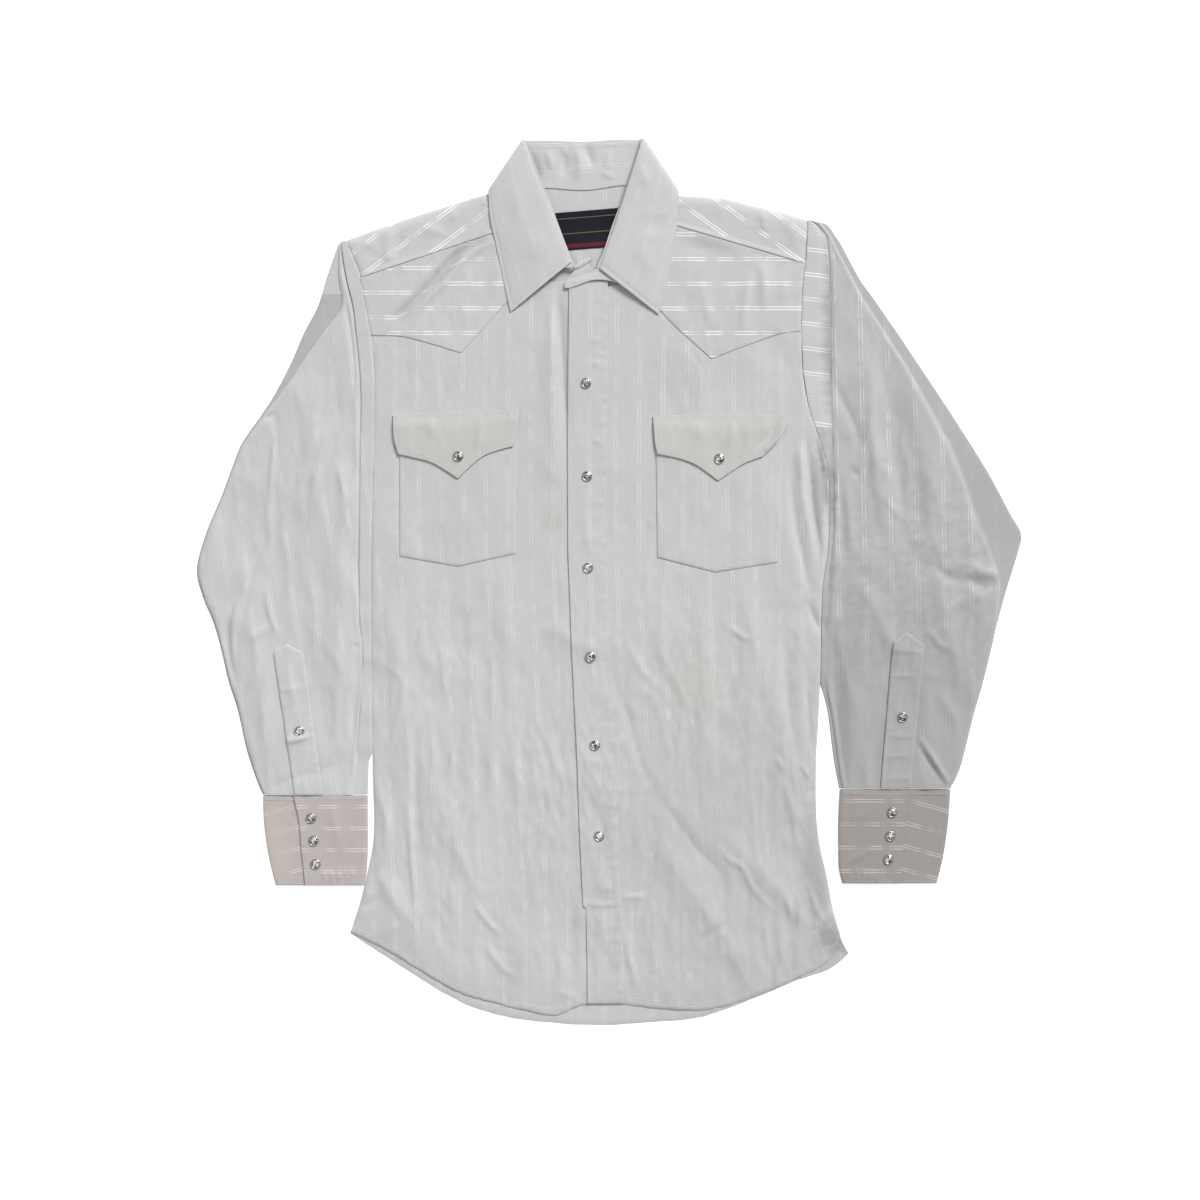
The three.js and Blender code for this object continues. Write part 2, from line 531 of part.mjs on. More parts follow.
// Collar: one band from point to point. Its fold line runs round the neck and its outer edge turns
// over each shoulder and passes under the back of the neck.
const COLLAR = table("foldX foldY foldZ edgeX edgeY edgeZ", [-38, 319, 9.4, -99, 269, 7.4],
  [-50, 351, 10.4, -106, 301, 7.2], [-62, 381, 11.2, -113, 334, 7.0], [-74, 408, 11.2, -119, 362, 7.0],
  [-82, 433, 10.4, -120.5, 380, 7.2], [-85, 439.5, 9.2, -121, 387, 7.0], [-86, 442, 7, -121, 390.5, 5.4],
  [-86.5, 442.5, 4, -121, 391.5, 3.2], [-85, 442, 1.4, -119, 390, 0.9],
  [-80, 442, FUSED / 2, -110, 384, FUSED / 2], [-60, 442, FUSED / 2, -76, 383, FUSED / 2],
  [-26, 441, FUSED / 2, -26, 382, FUSED / 2], [8, 443, FUSED / 2, 22, 383, FUSED / 2],
  [22, 442.5, FUSED / 2, 54, 384, FUSED / 2], [31, 443, 1.4, 66, 389.5, 0.9],
  [33.5, 444, 4, 69, 391, 3.2], [33.5, 443.5, 7, 69, 390.5, 5.4], [32, 441, 9.2, 69, 387, 7.0],
  [30, 433, 10.4, 69, 378, 7.2], [25.5, 418, 11.2, 67.5, 356, 7.2], [17, 391, 11.2, 63.5, 329, 7.0],
  [5, 354, 10.6, 58.5, 300, 7.0], [-10, 312, 9.6, 49, 267, 7.2]);
const LEAF_CROWN = 1.6;
add("collar", wall(COLLAR.map(({ foldX, foldY, foldZ, edgeX, edgeY, edgeZ }) => [0, 0.1, 0.3, 0.55, 0.8, 1]
  .map((t) => {
    const crown = LEAF_CROWN * Math.sin(Math.PI * t) * clamp((edgeZ - 5) / 2);
    return new THREE.Vector3(mix(foldX, edgeX, t), mix(foldY, edgeY, t), mix(foldZ, edgeZ, t) + crown);
  })), FUSED), fusedCloth);

// Collar stand: the back part leans back from the neck seam, a strip runs down each side inside
// the fold, and the left end laps over the front band.
const STAND_SIDES = table("y rightIn rightOut leftIn leftOut height", [430, -80, -84, 28, 32, 5.2],
  [412, -73, -83, 23, 34, 5.0], [384, -61, -80, 13, 33, 5.6], [354, -50, -73, 2, 26, 6.4],
  [330, -41, -62, -6, 17, 7.0], [313, -34, -54, -13, 10, 6.8]);
const standSide = (inner, outer) => wall(STAND_SIDES.map((row) => {
  const ends = [row[inner], row[outer]].sort((a, b) => a - b);
  return [0, 0.5, 1].map((t) => new THREE.Vector3(mix(...ends, t), row.y, row.height));
}), FUSED);
add("collar_stand", joined(
  wall(panel({
    top: edge(table("x y", [-84, 438.5], [-26, 438.5], [29, 440.5])),
    bottom: edge(table("x y", [-82, 391], [-68, 393.4], [-24, 391.4], [19, 396], [34, 391])),
    left: edge(table("x y", [-84, 438.5], [-82, 391])),
    right: edge(table("x y", [29, 440.5], [34, 391])),
    across: steps(10),
    down: steps(4),
    height: (x, y, u, v) => mix(4.2, 4.9, v),
  }), FUSED),
  standSide("rightIn", "rightOut"),
  standSide("leftIn", "leftOut"),
  wall(panel({
    top: edge(table("x y", [-38, 308], [-26, 317], [-4, 319], [12, 314])),
    bottom: edge(table("x y", [-42, 297], [-20, 297], [12, 300])),
    left: edge(table("x y", [-38, 308], [-43, 303], [-42, 297])),
    right: edge(table("x y", [12, 314], [12, 300])),
    across: steps(6),
    down: steps(3),
    height: () => 7.9,
  }), FUSED),
), fusedCloth);

// Snaps: a nickel rim with a pearl cap inside it, standing on its seat.
const SNAPS = table("name x y seat", ["front_1", -23.5, 198, "front"], ["front_2", -22.5, 105, "front"],
  ["front_3", -21.5, 13.5, "front"], ["front_4", -19, -75.5, "front"], ["front_5", -14.5, -164, "front"],
  ["front_6", -10.5, -255, "front"], ["flap_right", -151, 124.7, "flap"], ["flap_left", 109.7, 122.4, "flap"],
  ["placket_right", -310, -150, "placket"], ["placket_left", 293, -136, "placket"],
  ["cuff_right_1", -298.7, -237.2, "cuff"], ["cuff_right_2", -296.2, -259.7, "cuff"],
  ["cuff_right_3", -294.3, -283.2, "cuff"], ["cuff_left_1", 283, -231.5, "cuff"],
  ["cuff_left_2", 281, -255, "cuff"], ["cuff_left_3", 279.3, -278.6, "cuff"]);
const SEATS = {
  front: (x, y) => onFront(1)(x, y) + CLOTH / 2,
  flap: (x, y) => onFront(2, 0.3)(x, y) + FUSED / 2,
  placket: (x, y) => sleeveHeight(x, y) + LAYER + GAP + CLOTH / 2,
  cuff: () => FUSED * 3 + 2 * GAP,
};
const ring = (points) => new THREE.LatheGeometry(points.map(([r, z]) => new THREE.Vector2(r, z)), SNAP.sides);
for (const { name, x, y, seat } of SNAPS) {
  const z = SEATS[seat](x, y) + 0.4;
  const rim = ring([[SNAP.bore, 0], [SNAP.rim, 0], [SNAP.rim, SNAP.rimHigh * 0.5],
    [SNAP.rim - 0.5, SNAP.rimHigh], [SNAP.bore, SNAP.rimHigh], [SNAP.bore, 0]]);
  const cap = ring([[0, 0], [SNAP.pearl, 0], [SNAP.pearl, SNAP.rimHigh * 0.7],
    [SNAP.pearl * 0.62, SNAP.pearlHigh * 0.93], [0, SNAP.pearlHigh]]);
  for (const [part, geometry, material] of [["rim", rim, nickel], ["pearl", cap, pearl]]) {
    geometry.deleteAttribute("normal");
    geometry.deleteAttribute("uv");
    geometry.rotateX(Math.PI / 2);
    geometry.translate(x, y, z);
    add(`snap_${part}_${name}`, geometry, material);
  }
}

export default shirt;
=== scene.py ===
import math
from collections import namedtuple

import bmesh
import bpy
import numpy as np
from mathutils import Matrix, Vector, noise


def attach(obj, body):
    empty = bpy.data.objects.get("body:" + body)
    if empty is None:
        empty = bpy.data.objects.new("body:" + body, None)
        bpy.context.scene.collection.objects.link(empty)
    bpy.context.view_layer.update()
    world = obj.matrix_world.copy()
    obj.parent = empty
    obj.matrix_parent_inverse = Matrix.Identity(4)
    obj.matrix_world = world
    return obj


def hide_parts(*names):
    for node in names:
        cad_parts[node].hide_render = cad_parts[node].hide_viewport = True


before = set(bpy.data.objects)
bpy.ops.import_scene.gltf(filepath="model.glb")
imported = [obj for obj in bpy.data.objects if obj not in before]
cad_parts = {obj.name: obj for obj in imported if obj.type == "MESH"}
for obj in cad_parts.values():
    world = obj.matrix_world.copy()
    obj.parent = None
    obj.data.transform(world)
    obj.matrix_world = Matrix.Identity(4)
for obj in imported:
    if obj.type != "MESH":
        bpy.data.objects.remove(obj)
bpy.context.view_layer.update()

# Camera, table and light.
# The shirt lies on a white table, of which the camera sees 1.2 m square from straight above. A broad lamp
# stands beyond the collar to the viewer's right, a weak one opposite, and even light comes from all round.
MM = 0.001
TABLE_SIZE = 1200
FROM_LEFT = 609.5  # the frame's origin, in mm from the table's left edge
FROM_TOP = 581.25  # and from its top edge
SHIRT_TOP = 5  # the height that the camera's frame is set to
LENS = 50

camera_data = bpy.data.cameras.new("camera")
camera_data.lens = LENS
camera_data.sensor_width = 36
camera = bpy.data.objects.new("camera", camera_data)
camera_height = TABLE_SIZE * LENS / camera_data.sensor_width + SHIRT_TOP
camera.location = Vector((TABLE_SIZE / 2 - FROM_LEFT, FROM_TOP - TABLE_SIZE / 2, camera_height)) * MM
bpy.context.scene.collection.objects.link(camera)
bpy.context.scene.camera = camera
bpy.context.scene.view_settings.view_transform = "Standard"


def linear(code):
    """An sRGB hex colour as linear red, green, blue and alpha."""
    shares = [int(code[i:i + 2], 16) / 255 for i in (0, 2, 4)]
    return [s / 12.92 if s <= 0.04045 else ((s + 0.055) / 1.055) ** 2.4 for s in shares] + [1]


def add_node(tree, kind, settings=None, **inputs):
    """A node with its settings, and its inputs given as values or as sockets to link from."""
    made = tree.nodes.new("ShaderNode" + kind)
    for name, value in (settings or {}).items():
        setattr(made, name, value)
    for name, value in inputs.items():
        socket = made.inputs[int(name[1:])] if name[1:].isdigit() else made.inputs[name.replace("_", " ")]
        if isinstance(value, bpy.types.NodeSocket):
            tree.links.new(value, socket)
        else:
            socket.default_value = value
    return made


def new_material(name):
    made = bpy.data.materials.new(name)
    made.use_nodes = True
    made.node_tree.nodes.clear()
    return made


# White laminate: matt and even, bright enough to lose its shadows.
table_top = new_material("white laminate")
tree = table_top.node_tree
surface = add_node(tree, "BsdfPrincipled", Base_Color=linear("F7F7F7"), Roughness=0.9,
                   Emission_Color=linear("FFFFFF"), Emission_Strength=0.55)
add_node(tree, "OutputMaterial", Surface=surface.outputs[0])

bm = bmesh.new()
bmesh.ops.create_grid(bm, x_segments=1, y_segments=1, size=4)
mesh = bpy.data.meshes.new("floor")
bm.to_mesh(mesh)
bm.free()
mesh.materials.append(table_top)
floor = bpy.data.objects.new("floor", mesh)
bpy.context.scene.collection.objects.link(floor)

Lamp = namedtuple("Lamp", "name place spread power")
LAMPS = [Lamp("key", (0.5, 0.76, 0.72), 24, 3.15), Lamp("low", (-0.8, -0.3, 1.2), 60, 0.3)]
for lamp in LAMPS:
    data = bpy.data.lights.new(lamp.name, "SUN")
    data.angle = math.radians(lamp.spread)
    data.energy = lamp.power
    made = bpy.data.objects.new(lamp.name, data)
    made.location = lamp.place
    made.rotation_mode = "QUATERNION"
    made.rotation_quaternion = (-Vector(lamp.place)).to_track_quat("-Z", "Y")
    bpy.context.scene.collection.objects.link(made)
world = bpy.data.worlds.new("room")
world.use_nodes = True
world.node_tree.nodes["Background"].inputs["Color"].default_value = linear("FFFFFF")
world.node_tree.nodes["Background"].inputs["Strength"].default_value = 0.34
bpy.context.scene.world = world

# Back body.
# One cut of shirting below the yoke, laid face down on the table. It is the flat layer that the
# whole shirt rests on, and its hem shows below the front hem.
SHELL = 0.6  # wall of the shirting itself
LYING = SHELL / 2 + 0.05
STRIPES = 23.6  # from one pair of stripes to the next
STRIPE_APART = 2.7
STRIPE_WIDE = 0.9
FAR = 2000  # added to every distance across or along the stripes, so that none is below zero
ON_PAIR = STRIPES * 60.5  # such a distance that falls on the middle of a pair of stripes


def table(columns, *rows):
    """Rows as tuples with named columns."""
    row_type = namedtuple("Row", columns)
    return [row_type(*row) for row in rows]


def line(*legs):
    """A smooth line through the points of each leg, with a corner between legs."""
    smooth = []
    for leg in legs:
        points = np.array([point[:2] for point in leg], float)
        knots = np.append(0, np.cumsum(np.linalg.norm(np.diff(points, axis=0), axis=1) ** 0.5))
        slope = np.gradient(points, knots, axis=0)
        place = np.linspace(0, knots[-1], 16 * (len(points) - 1) + 1)
        i = np.clip(np.searchsorted(knots, place, side="right") - 1, 0, len(points) - 2)
        span = (knots[i + 1] - knots[i])[:, None]
        s = (place - knots[i])[:, None] / span
        smooth.append((1 + 2 * s) * (1 - s) ** 2 * points[i] + s * (1 - s) ** 2 * span * slope[i]
                      + s * s * (3 - 2 * s) * points[i + 1] + s * s * (s - 1) * span * slope[i + 1])
    smooth = np.concatenate(smooth)
    length = np.append(0, np.cumsum(np.linalg.norm(np.diff(smooth, axis=0), axis=1)))
    return length, smooth


def along(path, share):
    """Places at each share of a line's length."""
    length, points = path
    return np.stack([np.interp(share * length[-1], length, points[:, k]) for k in (0, 1)], -1)


def within(top, bottom, left, right, u, v):
    """Places inside four edges, at shares u across and v down."""
    a, b, c, d = along(top, u), along(bottom, u), along(left, v), along(right, v)
    u, v = u[:, None], v[:, None]
    ends = [along(path, np.array([end]))[0] for path in (top, bottom) for end in (0.0, 1.0)]
    corners = (1 - v) * ((1 - u) * ends[0] + u * ends[1]) + v * ((1 - u) * ends[2] + u * ends[3])
    return ((1 - v) * a + v * b + (1 - u) * c + u * d - corners).T


def ripple(a, b, seed=0.0):
    """Smooth chance waves, from -1 to 1, at places measured in wavelengths."""
    return np.array([noise.noise((p, q, seed)) for p, q in zip(a.ravel(), b.ravel())]).reshape(a.shape)


def rumple(x, y, across, down, high, seed):
    """Crumpling: crisp broken ridges of chance size, longer one way than the other, in patches."""
    bend = 0.6 * ripple(x / across / 2.3, y / down / 2.3, seed + 31)
    waves = 1 - 2.4 * np.abs(ripple(x / across + bend, y / down - bend, seed))
    patches = 0.55 + 1.3 * np.abs(ripple(x / 110, y / 140, seed + 57))
    return high * patches * (waves - 0.5 + 0.5 * ripple(x / across * 2.3, y / down * 2.3, seed + 7))


def folded(folds, x, y):
    """Height that a list of folds adds. A fold is its half width, its height, and the places that it
    runs through, in mm from the left and top of the table."""
    height = np.zeros(x.shape)
    for wide, high, *places in folds:
        crest = line([(p - FROM_LEFT, FROM_TOP - q) for p, q in places])
        path = along(crest, np.linspace(0, 1, 6 * len(places)))
        reach = 3 * wide
        low, top = path.min(0) - reach, path.max(0) + reach
        near = (x > low[0]) & (x < top[0]) & (y > low[1]) & (y < top[1])
        if not near.any():
            continue
        here = np.stack([x[near], y[near]], -1)
        nearest = np.full(len(here), 1e9)
        share = np.zeros(len(here))
        for i, (start, end) in enumerate(zip(path[:-1], path[1:])):
            run = end - start
            t = np.clip((here - start) @ run / (run @ run), 0, 1)
            off = np.linalg.norm(here - start - t[:, None] * run, axis=1)
            closer = off < nearest
            nearest[closer] = off[closer]
            share[closer] = (i + t[closer]) / (len(path) - 1)
        fade = np.sin(math.pi * np.clip(share, 0.02, 0.98)) ** 0.7
        height[near] += high * fade * np.exp(-(nearest / wide) ** 1.6)
    return height


def cloth(name, across, down, place, grain, material, shell=SHELL, closed=False):
    """A sheet of cloth of across by down cells. place gives x, y and z, and grain the distances
    across and along the stripes, all in mm, at shares u across and v down."""
    bm = bmesh.new()
    bmesh.ops.create_grid(bm, x_segments=across, y_segments=down, size=0.5)
    bm.loops.layers.uv.new("grain")
    mesh = bpy.data.meshes.new(name)
    bm.to_mesh(mesh)
    bm.free()
    flat = np.empty(len(mesh.vertices) * 3, np.float32)
    mesh.vertices.foreach_get("co", flat)
    u, v = flat[0::3] + 0.5, 0.5 - flat[1::3]
    x, y, z = place(u, v)
    mesh.vertices.foreach_set("co", (np.stack([x, y, z], -1) * MM).astype(np.float32).ravel())
    corners = np.empty(len(mesh.loops), np.int32)
    mesh.loops.foreach_get("vertex_index", corners)
    threads = np.stack(grain(u, v, x, y), -1)[corners] * MM
    mesh.uv_layers["grain"].data.foreach_set("uv", threads.astype(np.float32).ravel())
    if closed:
        bm = bmesh.new()
        bm.from_mesh(mesh)
        bmesh.ops.remove_doubles(bm, verts=bm.verts, dist=0.02 * MM)
        bm.to_mesh(mesh)
        bm.free()
    mesh.shade_smooth()
    mesh.materials.append(material)
    piece = bpy.data.objects.new(name, mesh)
    bpy.context.scene.collection.objects.link(piece)
    wall = piece.modifiers.new("wall", "SOLIDIFY")
    wall.thickness = shell * MM
    wall.offset = 0
    soft_edge = piece.modifiers.new("soft edge", "BEVEL")
    soft_edge.limit_method = "ANGLE"
    soft_edge.angle_limit = math.radians(62)
    soft_edge.width = shell * 0.3 * MM
    soft_edge.segments = 2
    return piece


def wear(piece, nodes):
    """The piece stands for its CAD nodes, which it hides, and hangs from the root body."""
    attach(piece, "root")
    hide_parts(*nodes)


def shirting(name, plain, stripe, stripe_share=1.0, stains_and_painted_shade=()):
    """Poplin of fine white cotton and polyester, washed soft, with pairs of satin stripes woven in.
    It looks matt, cool and slightly cloudy, and the stripes shine: their sheen comes and goes along them
    and is painted into their colour as well as set by their roughness. Threads are 0.25 mm apart and are
    drawn 0.9 mm apart, as slubs and a faint weave, because finer ones don't show. A stain or a patch of
    painted shade is its place from the left and top of the table, its radius, its height to its width,
    its strength and its tint."""
    made = new_material(name)
    tree = made.node_tree
    thread = 0.9 * MM
    grain = add_node(tree, "UVMap", {"uv_map": "grain"}).outputs[0]
    sides = add_node(tree, "SeparateXYZ", Vector=grain)

    def maths(operation, a, b=0.0):
        return add_node(tree, "Math", {"operation": operation}, i0=a, i1=b).outputs[0]

    def spread(value, low, high, to_low=0.0, to_high=1.0):
        return add_node(tree, "MapRange", {"interpolation_type": "SMOOTHSTEP"}, Value=value, From_Min=low,
                        From_Max=high, To_Min=to_low, To_Max=to_high).outputs[0]

    def cloud(across, down, detail=2.0):
        stretched = add_node(tree, "Mapping", Vector=grain, Scale=(1 / (across * MM), 1 / (down * MM), 1))
        return add_node(tree, "TexNoise", Vector=stretched.outputs[0], Scale=1.0, Detail=detail).outputs[0]

    share = maths("FRACT", maths("DIVIDE", sides.outputs[0], STRIPES * MM))
    off_pair = maths("MULTIPLY", maths("ABSOLUTE", maths("SUBTRACT", share, 0.5)), STRIPES * MM)
    off_line = maths("ABSOLUTE", maths("SUBTRACT", off_pair, STRIPE_APART / 2 * MM))
    lines = spread(off_line, STRIPE_WIDE * 0.72 * MM, STRIPE_WIDE * 0.3 * MM)
    # Painted sheen: where along the stripes their lighter colour shows, as well as their lower roughness.
    shine = spread(cloud(60, 16), 0.38, 0.6, 0.12, 1.15)
    stripes = maths("MULTIPLY", maths("MULTIPLY", lines, shine), stripe_share)
    warp = cloud(0.9, 16)
    weft = cloud(16, 0.9)
    slubs = maths("ADD", warp, weft)
    soil = cloud(90, 120, 3.0)
    tone = maths("ADD", spread(slubs, 0.7, 1.3, 0.965, 1.03), spread(soil, 0.3, 0.7, -0.015, 0.015))
    grey = add_node(tree, "CombineColor", i0=tone, i1=tone, i2=tone).outputs[0]
    plain_cloth = add_node(tree, "Mix", {"data_type": "RGBA", "blend_type": "MULTIPLY"}, Factor=1.0,
                           i6=linear(plain), i7=grey)
    colour = add_node(tree, "Mix", {"data_type": "RGBA"}, Factor=stripes, i6=plain_cloth.outputs[2],
                      i7=linear(stripe)).outputs[2]
    here = add_node(tree, "TexCoord").outputs["Object"]
    # Stains, and patches of painted shade, mixed into the colour.
    for x, y, radius, tall, strength, tint in stains_and_painted_shade:
        apart = add_node(tree, "VectorMath", {"operation": "SUBTRACT"}, i0=here,
                         i1=((x - FROM_LEFT) * MM, (FROM_TOP - y) * MM, 4 * MM)).outputs[0]
        pressed = add_node(tree, "VectorMath", {"operation": "MULTIPLY"}, i0=apart,
                           i1=(1, 1 / tall, 1)).outputs[0]
        off = add_node(tree, "VectorMath", {"operation": "LENGTH"}, i0=pressed).outputs["Value"]
        ragged = maths("ADD", off, maths("MULTIPLY", maths("SUBTRACT", cloud(9, 9), 0.5), radius * 0.9 * MM))
        mark = maths("MULTIPLY", spread(ragged, radius * MM, radius * 0.25 * MM), strength)
        colour = add_node(tree, "Mix", {"data_type": "RGBA"}, Factor=mark, i6=colour,
                          i7=linear(tint)).outputs[2]
    weave_across = maths("SINE", maths("MULTIPLY", sides.outputs[0], 2 * math.pi / thread))
    weave_down = maths("SINE", maths("MULTIPLY", sides.outputs[1], 2 * math.pi / thread))
    weave = maths("MULTIPLY", maths("MULTIPLY", weave_across, weave_down), 0.25)
    relief = maths("ADD", maths("ADD", weave, slubs), maths("MULTIPLY", lines, 1.4))
    bump = add_node(tree, "Bump", Strength=0.5, Distance=0.08 * MM, Height=relief)
    surface = add_node(tree, "BsdfPrincipled", Base_Color=colour, Roughness=spread(stripes, 0, 1, 0.78, 0.42),
                       Sheen_Weight=0.12, Sheen_Roughness=0.5, Normal=bump.outputs[0])
    surface.inputs["Specular IOR Level"].default_value = 0.35
    add_node(tree, "OutputMaterial", Surface=surface.outputs[0])
    return made


# Marks on the body: a spot and a faint patch on the right chest, and a faint patch on the left skirt. The
# left skirt is painted darker, as shade where the light falls off, and painted shade darkens the
# crumpled left corner, the cloth above it and the left armpit.
body_cloth = shirting("white striped poplin", "C5C5C6", "D4D4D5",
                      stains_and_painted_shade=[(552, 521, 15, 1, 0.22, "B0A68C"), (446, 535, 38, 1, 0.13, "B5AD96"),
                              (790, 860, 300, 1, 0.5, "B4B5B4"), (690, 685, 48, 1, 0.14, "BDB89C"),
                              (842, 938, 34, 0.8, 0.48, "76747A"), (818, 862, 24, 3.6, 0.4, "98979C"),
                              (820, 488, 12, 5.5, 0.42, "7E7E81")])
# Painted shade in the deep slanted fold across the right front yoke, as a chain of patches.
FOLD_SHADE = [(484, 238), (476, 241), (468, 245), (461, 250), (454, 256), (449, 263), (443, 270), (437, 278),
              (430, 285), (423, 292), (416, 299), (408, 306), (401, 313)]
# Cloth cut across has its stripes painted brighter than the cloth cut down, as a painted sheen of stripes
# that lie across the light.
cross_cloth = shirting("white striped poplin cut across", "C6C6C7", "F4F4F4",
                       stains_and_painted_shade=[(x, y, 11, 1, 0.24, "9A9A9D") for x, y in FOLD_SHADE])
RIGHT_SIDE = [(-236, 219), (-235.5, 190), (-235.5, 165), (-236, 141), (-237, 80), (-238, 21), (-238, -99),
              (-237, -185), (-236, -257), (-240, -281), (-247, -312), (-260, -353)]
LEFT_SIDE = [(193.4, 211), (199.3, 175), (207.5, 150), (211.5, 139), (217, 120), (219.7, 101), (220.2, 67),
             (219, 36), (216, 13), (213.5, -5), (212, -41), (211.3, -90), (209.5, -134), (207, -179),
             (207.5, -239), (211, -267), (217, -293), (224, -329), (232, -358)]
BACK_HEM = [(-260, -353), (-226, -375), (-195, -395), (-162, -415), (-135, -428), (-101, -437), (-64, -442),
            (-10, -445), (40, -442), (91, -437), (143, -419), (186, -401), (224, -387), (240, -373)]
YOKE_POINT = (-18, 172)
YOKE_SEAM_RIGHT = [(-236, 219), (-170, 226), (-96, 214), YOKE_POINT]
YOKE_SEAM_LEFT = [YOKE_POINT, (60, 214), (132, 226), (193.4, 211)]


def lowered(points, by):
    return [(x, y - by) for x, y in points]


back_edges = dict(
    top=line(lowered(YOKE_SEAM_RIGHT, 0.6), lowered(YOKE_SEAM_LEFT, 0.6)),
    bottom=line(BACK_HEM),
    left=line(RIGHT_SIDE),
    right=line([*LEFT_SIDE, (240, -373)]),
)
HEM_TURNED = 7  # depth of the rolled hem
BACK_LONG = 620


def eased(share):
    share = np.clip(share, 0, 1)
    return share * share * (3 - 2 * share)


def hem_relief(down_mm, along_mm, seed):
    """A narrow rolled hem: two more layers up to its row of stitches, which puckers the cloth."""
    pucker = ripple(along_mm / 5, down_mm / 9, seed) * np.exp(-((down_mm - 3) / 6) ** 2)
    roll = 0.35 * eased((HEM_TURNED + 1 - down_mm) / 2)
    return roll + 0.9 * pucker - 0.3 * np.exp(-((down_mm - HEM_TURNED) / 0.9) ** 2)


def back_place(u, v):
    x, y = within(u=u, v=v, **back_edges)
    above_hem = (1 - v) * BACK_LONG
    y = y + 0.8 * ripple(x / 6, x / 40, 8.0) * eased((30 - above_hem) / 20)
    return x, y, LYING + 0.3 * np.maximum(0, hem_relief(above_hem, x, 5.0))


def upright(u, v, x, y):
    """Stripes that run down the body, centred on the wearer's spine."""
    return x + FAR, y + FAR


back_body = cloth("back_body_cloth", 64, 84, back_place, upright, body_cloth)
wear(back_body, ["back_body"])

# Back yoke.
# The flat piece between the shoulder blades, cut across the cloth so that its stripes run sideways. A
# strip of it turns over each shoulder to the front, and it rises a little over the turned collar.
RIGHT_SHOULDER = [(-265, 341), (-227, 355), (-172, 373), (-120, 388), (-86, 392)]
LEFT_SHOULDER = [(40, 389), (72, 386), (112, 384), (141, 377), (170, 370), (198.7, 362)]
BACK_NECK = [(-86, 392), (-68, 391), (-24, 389), (19, 392), (40, 389)]
RIGHT_ARMHOLE = [(-265, 341), (-249.5, 305), (-244.5, 276), (-239, 249), (-236, 219)]
LEFT_ARMHOLE = [(198.7, 362), (197.2, 336), (196.1, 319), (193.6, 301), (192.6, 283), (192, 263), (192, 247),
                (193.4, 211)]
RIGHT_SHOULDER_SEAM = [(-249.5, 305), (-187, 326), (-124, 347), (-90, 358)]
LEFT_SHOULDER_SEAM = [(44, 364), (69, 356.6), (132, 338), (196.1, 319)]
COLLAR_UNDER = 1.35  # room that the collar takes under the back of the neck
FRONT_FOOT = LYING + 0.75  # the front at its edges
FRONT_LOFT = 2.6  # and how far it stands up inside them


def rounded(distance, reach):
    """A rounded edge, from 0 at the edge to 1 at its reach."""
    return np.sqrt(1 - (1 - np.clip(distance / reach, 0, 1)) ** 2)


def neck_lift(x, y):
    return COLLAR_UNDER * eased((y - 352) / 26) * eased((124 - np.abs(x + 24)) / 14)


def yoke_place(u, v):
    x, y = within(line([*RIGHT_SHOULDER, *BACK_NECK[1:-1], *LEFT_SHOULDER]),
                  line(YOKE_SEAM_RIGHT, YOKE_SEAM_LEFT), line(RIGHT_ARMHOLE), line(LEFT_ARMHOLE), u, v)
    return x, y, LYING + neck_lift(x, y)


def sideways(u, v, x, y):
    """Stripes that run from shoulder to shoulder."""
    return FAR - y, x + FAR


back_yoke = cloth("back_yoke_cloth", 60, 30, yoke_place, sideways, cross_cloth)
wear(back_yoke, ["back_yoke"])


def slanted(run, rise, start_x, start_y):
    """Stripes that run across the layout by run and down it by rise, with a pair on the start."""
    size = math.hypot(run, rise)

    def grain(u, v, x, y):
        over, down = x + FROM_LEFT - start_x, FROM_TOP - y - start_y
        return (down * run - over * rise) / size + (FAR + 6), (over * run + down * rise) / size + FAR
    return grain


Strip = namedtuple("Strip", "side fold seam armhole neck grain seed")
STRIPS = [
    Strip("right", RIGHT_SHOULDER, RIGHT_SHOULDER_SEAM, RIGHT_ARMHOLE[:2], [(-86, 392), (-90, 358)],
          slanted(0.8, -0.6, 422, 245), 1.0),
    Strip("left", LEFT_SHOULDER, LEFT_SHOULDER_SEAM, LEFT_ARMHOLE[:3], [(40, 389), (44, 364)],
          slanted(0.81, 0.59, 697, 200), 2.0),
]
SHOULDER_CREASES = [
    (5, 1.7, (394, 227), (387, 247), (390, 270)), (4, -0.8, (402, 230), (396, 250), (398, 268)),
    (4, 0.9, (457, 212), (450, 222)), (4, 0.9, (485, 195), (485, 207)), (9, 1.5, (420, 226), (440, 236)),
    (5, 1.5, (762, 205), (764, 232)), (4, 0.8, (716, 196), (722, 220)), (8, 1.5, (790, 215), (795, 248)),
]
for strip in STRIPS:
    on_right = strip.side == "right"
    ends = [strip.armhole, strip.neck] if on_right else [strip.neck, strip.armhole]
    edges = [line(points) for points in (strip.fold, strip.seam, *ends)]

    def strip_place(u, v):
        x, y = within(*edges, u, v)
        from_armhole = (u if on_right else 1 - u) * 150
        level = FRONT_FOOT + 1.0 + FRONT_LOFT * rounded(from_armhole, 8)
        start = LYING + neck_lift(x, y)
        creases = folded(SHOULDER_CREASES, x, y) + rumple(x, y, 22, 16, 0.35, strip.seed)
        creases = creases * (1 - eased((v - 0.7) / 0.25))
        lap = 0.75 * eased((v - 0.9) / 0.06)
        return x, y - 1.4 * eased((v - 0.8) / 0.2), start + (level + lap + creases - start) * rounded(v, 0.3)

    piece = cloth(f"shoulder_strip_{strip.side}", 90, 30, strip_place, strip.grain, cross_cloth)
    wear(piece, ["back_yoke"])

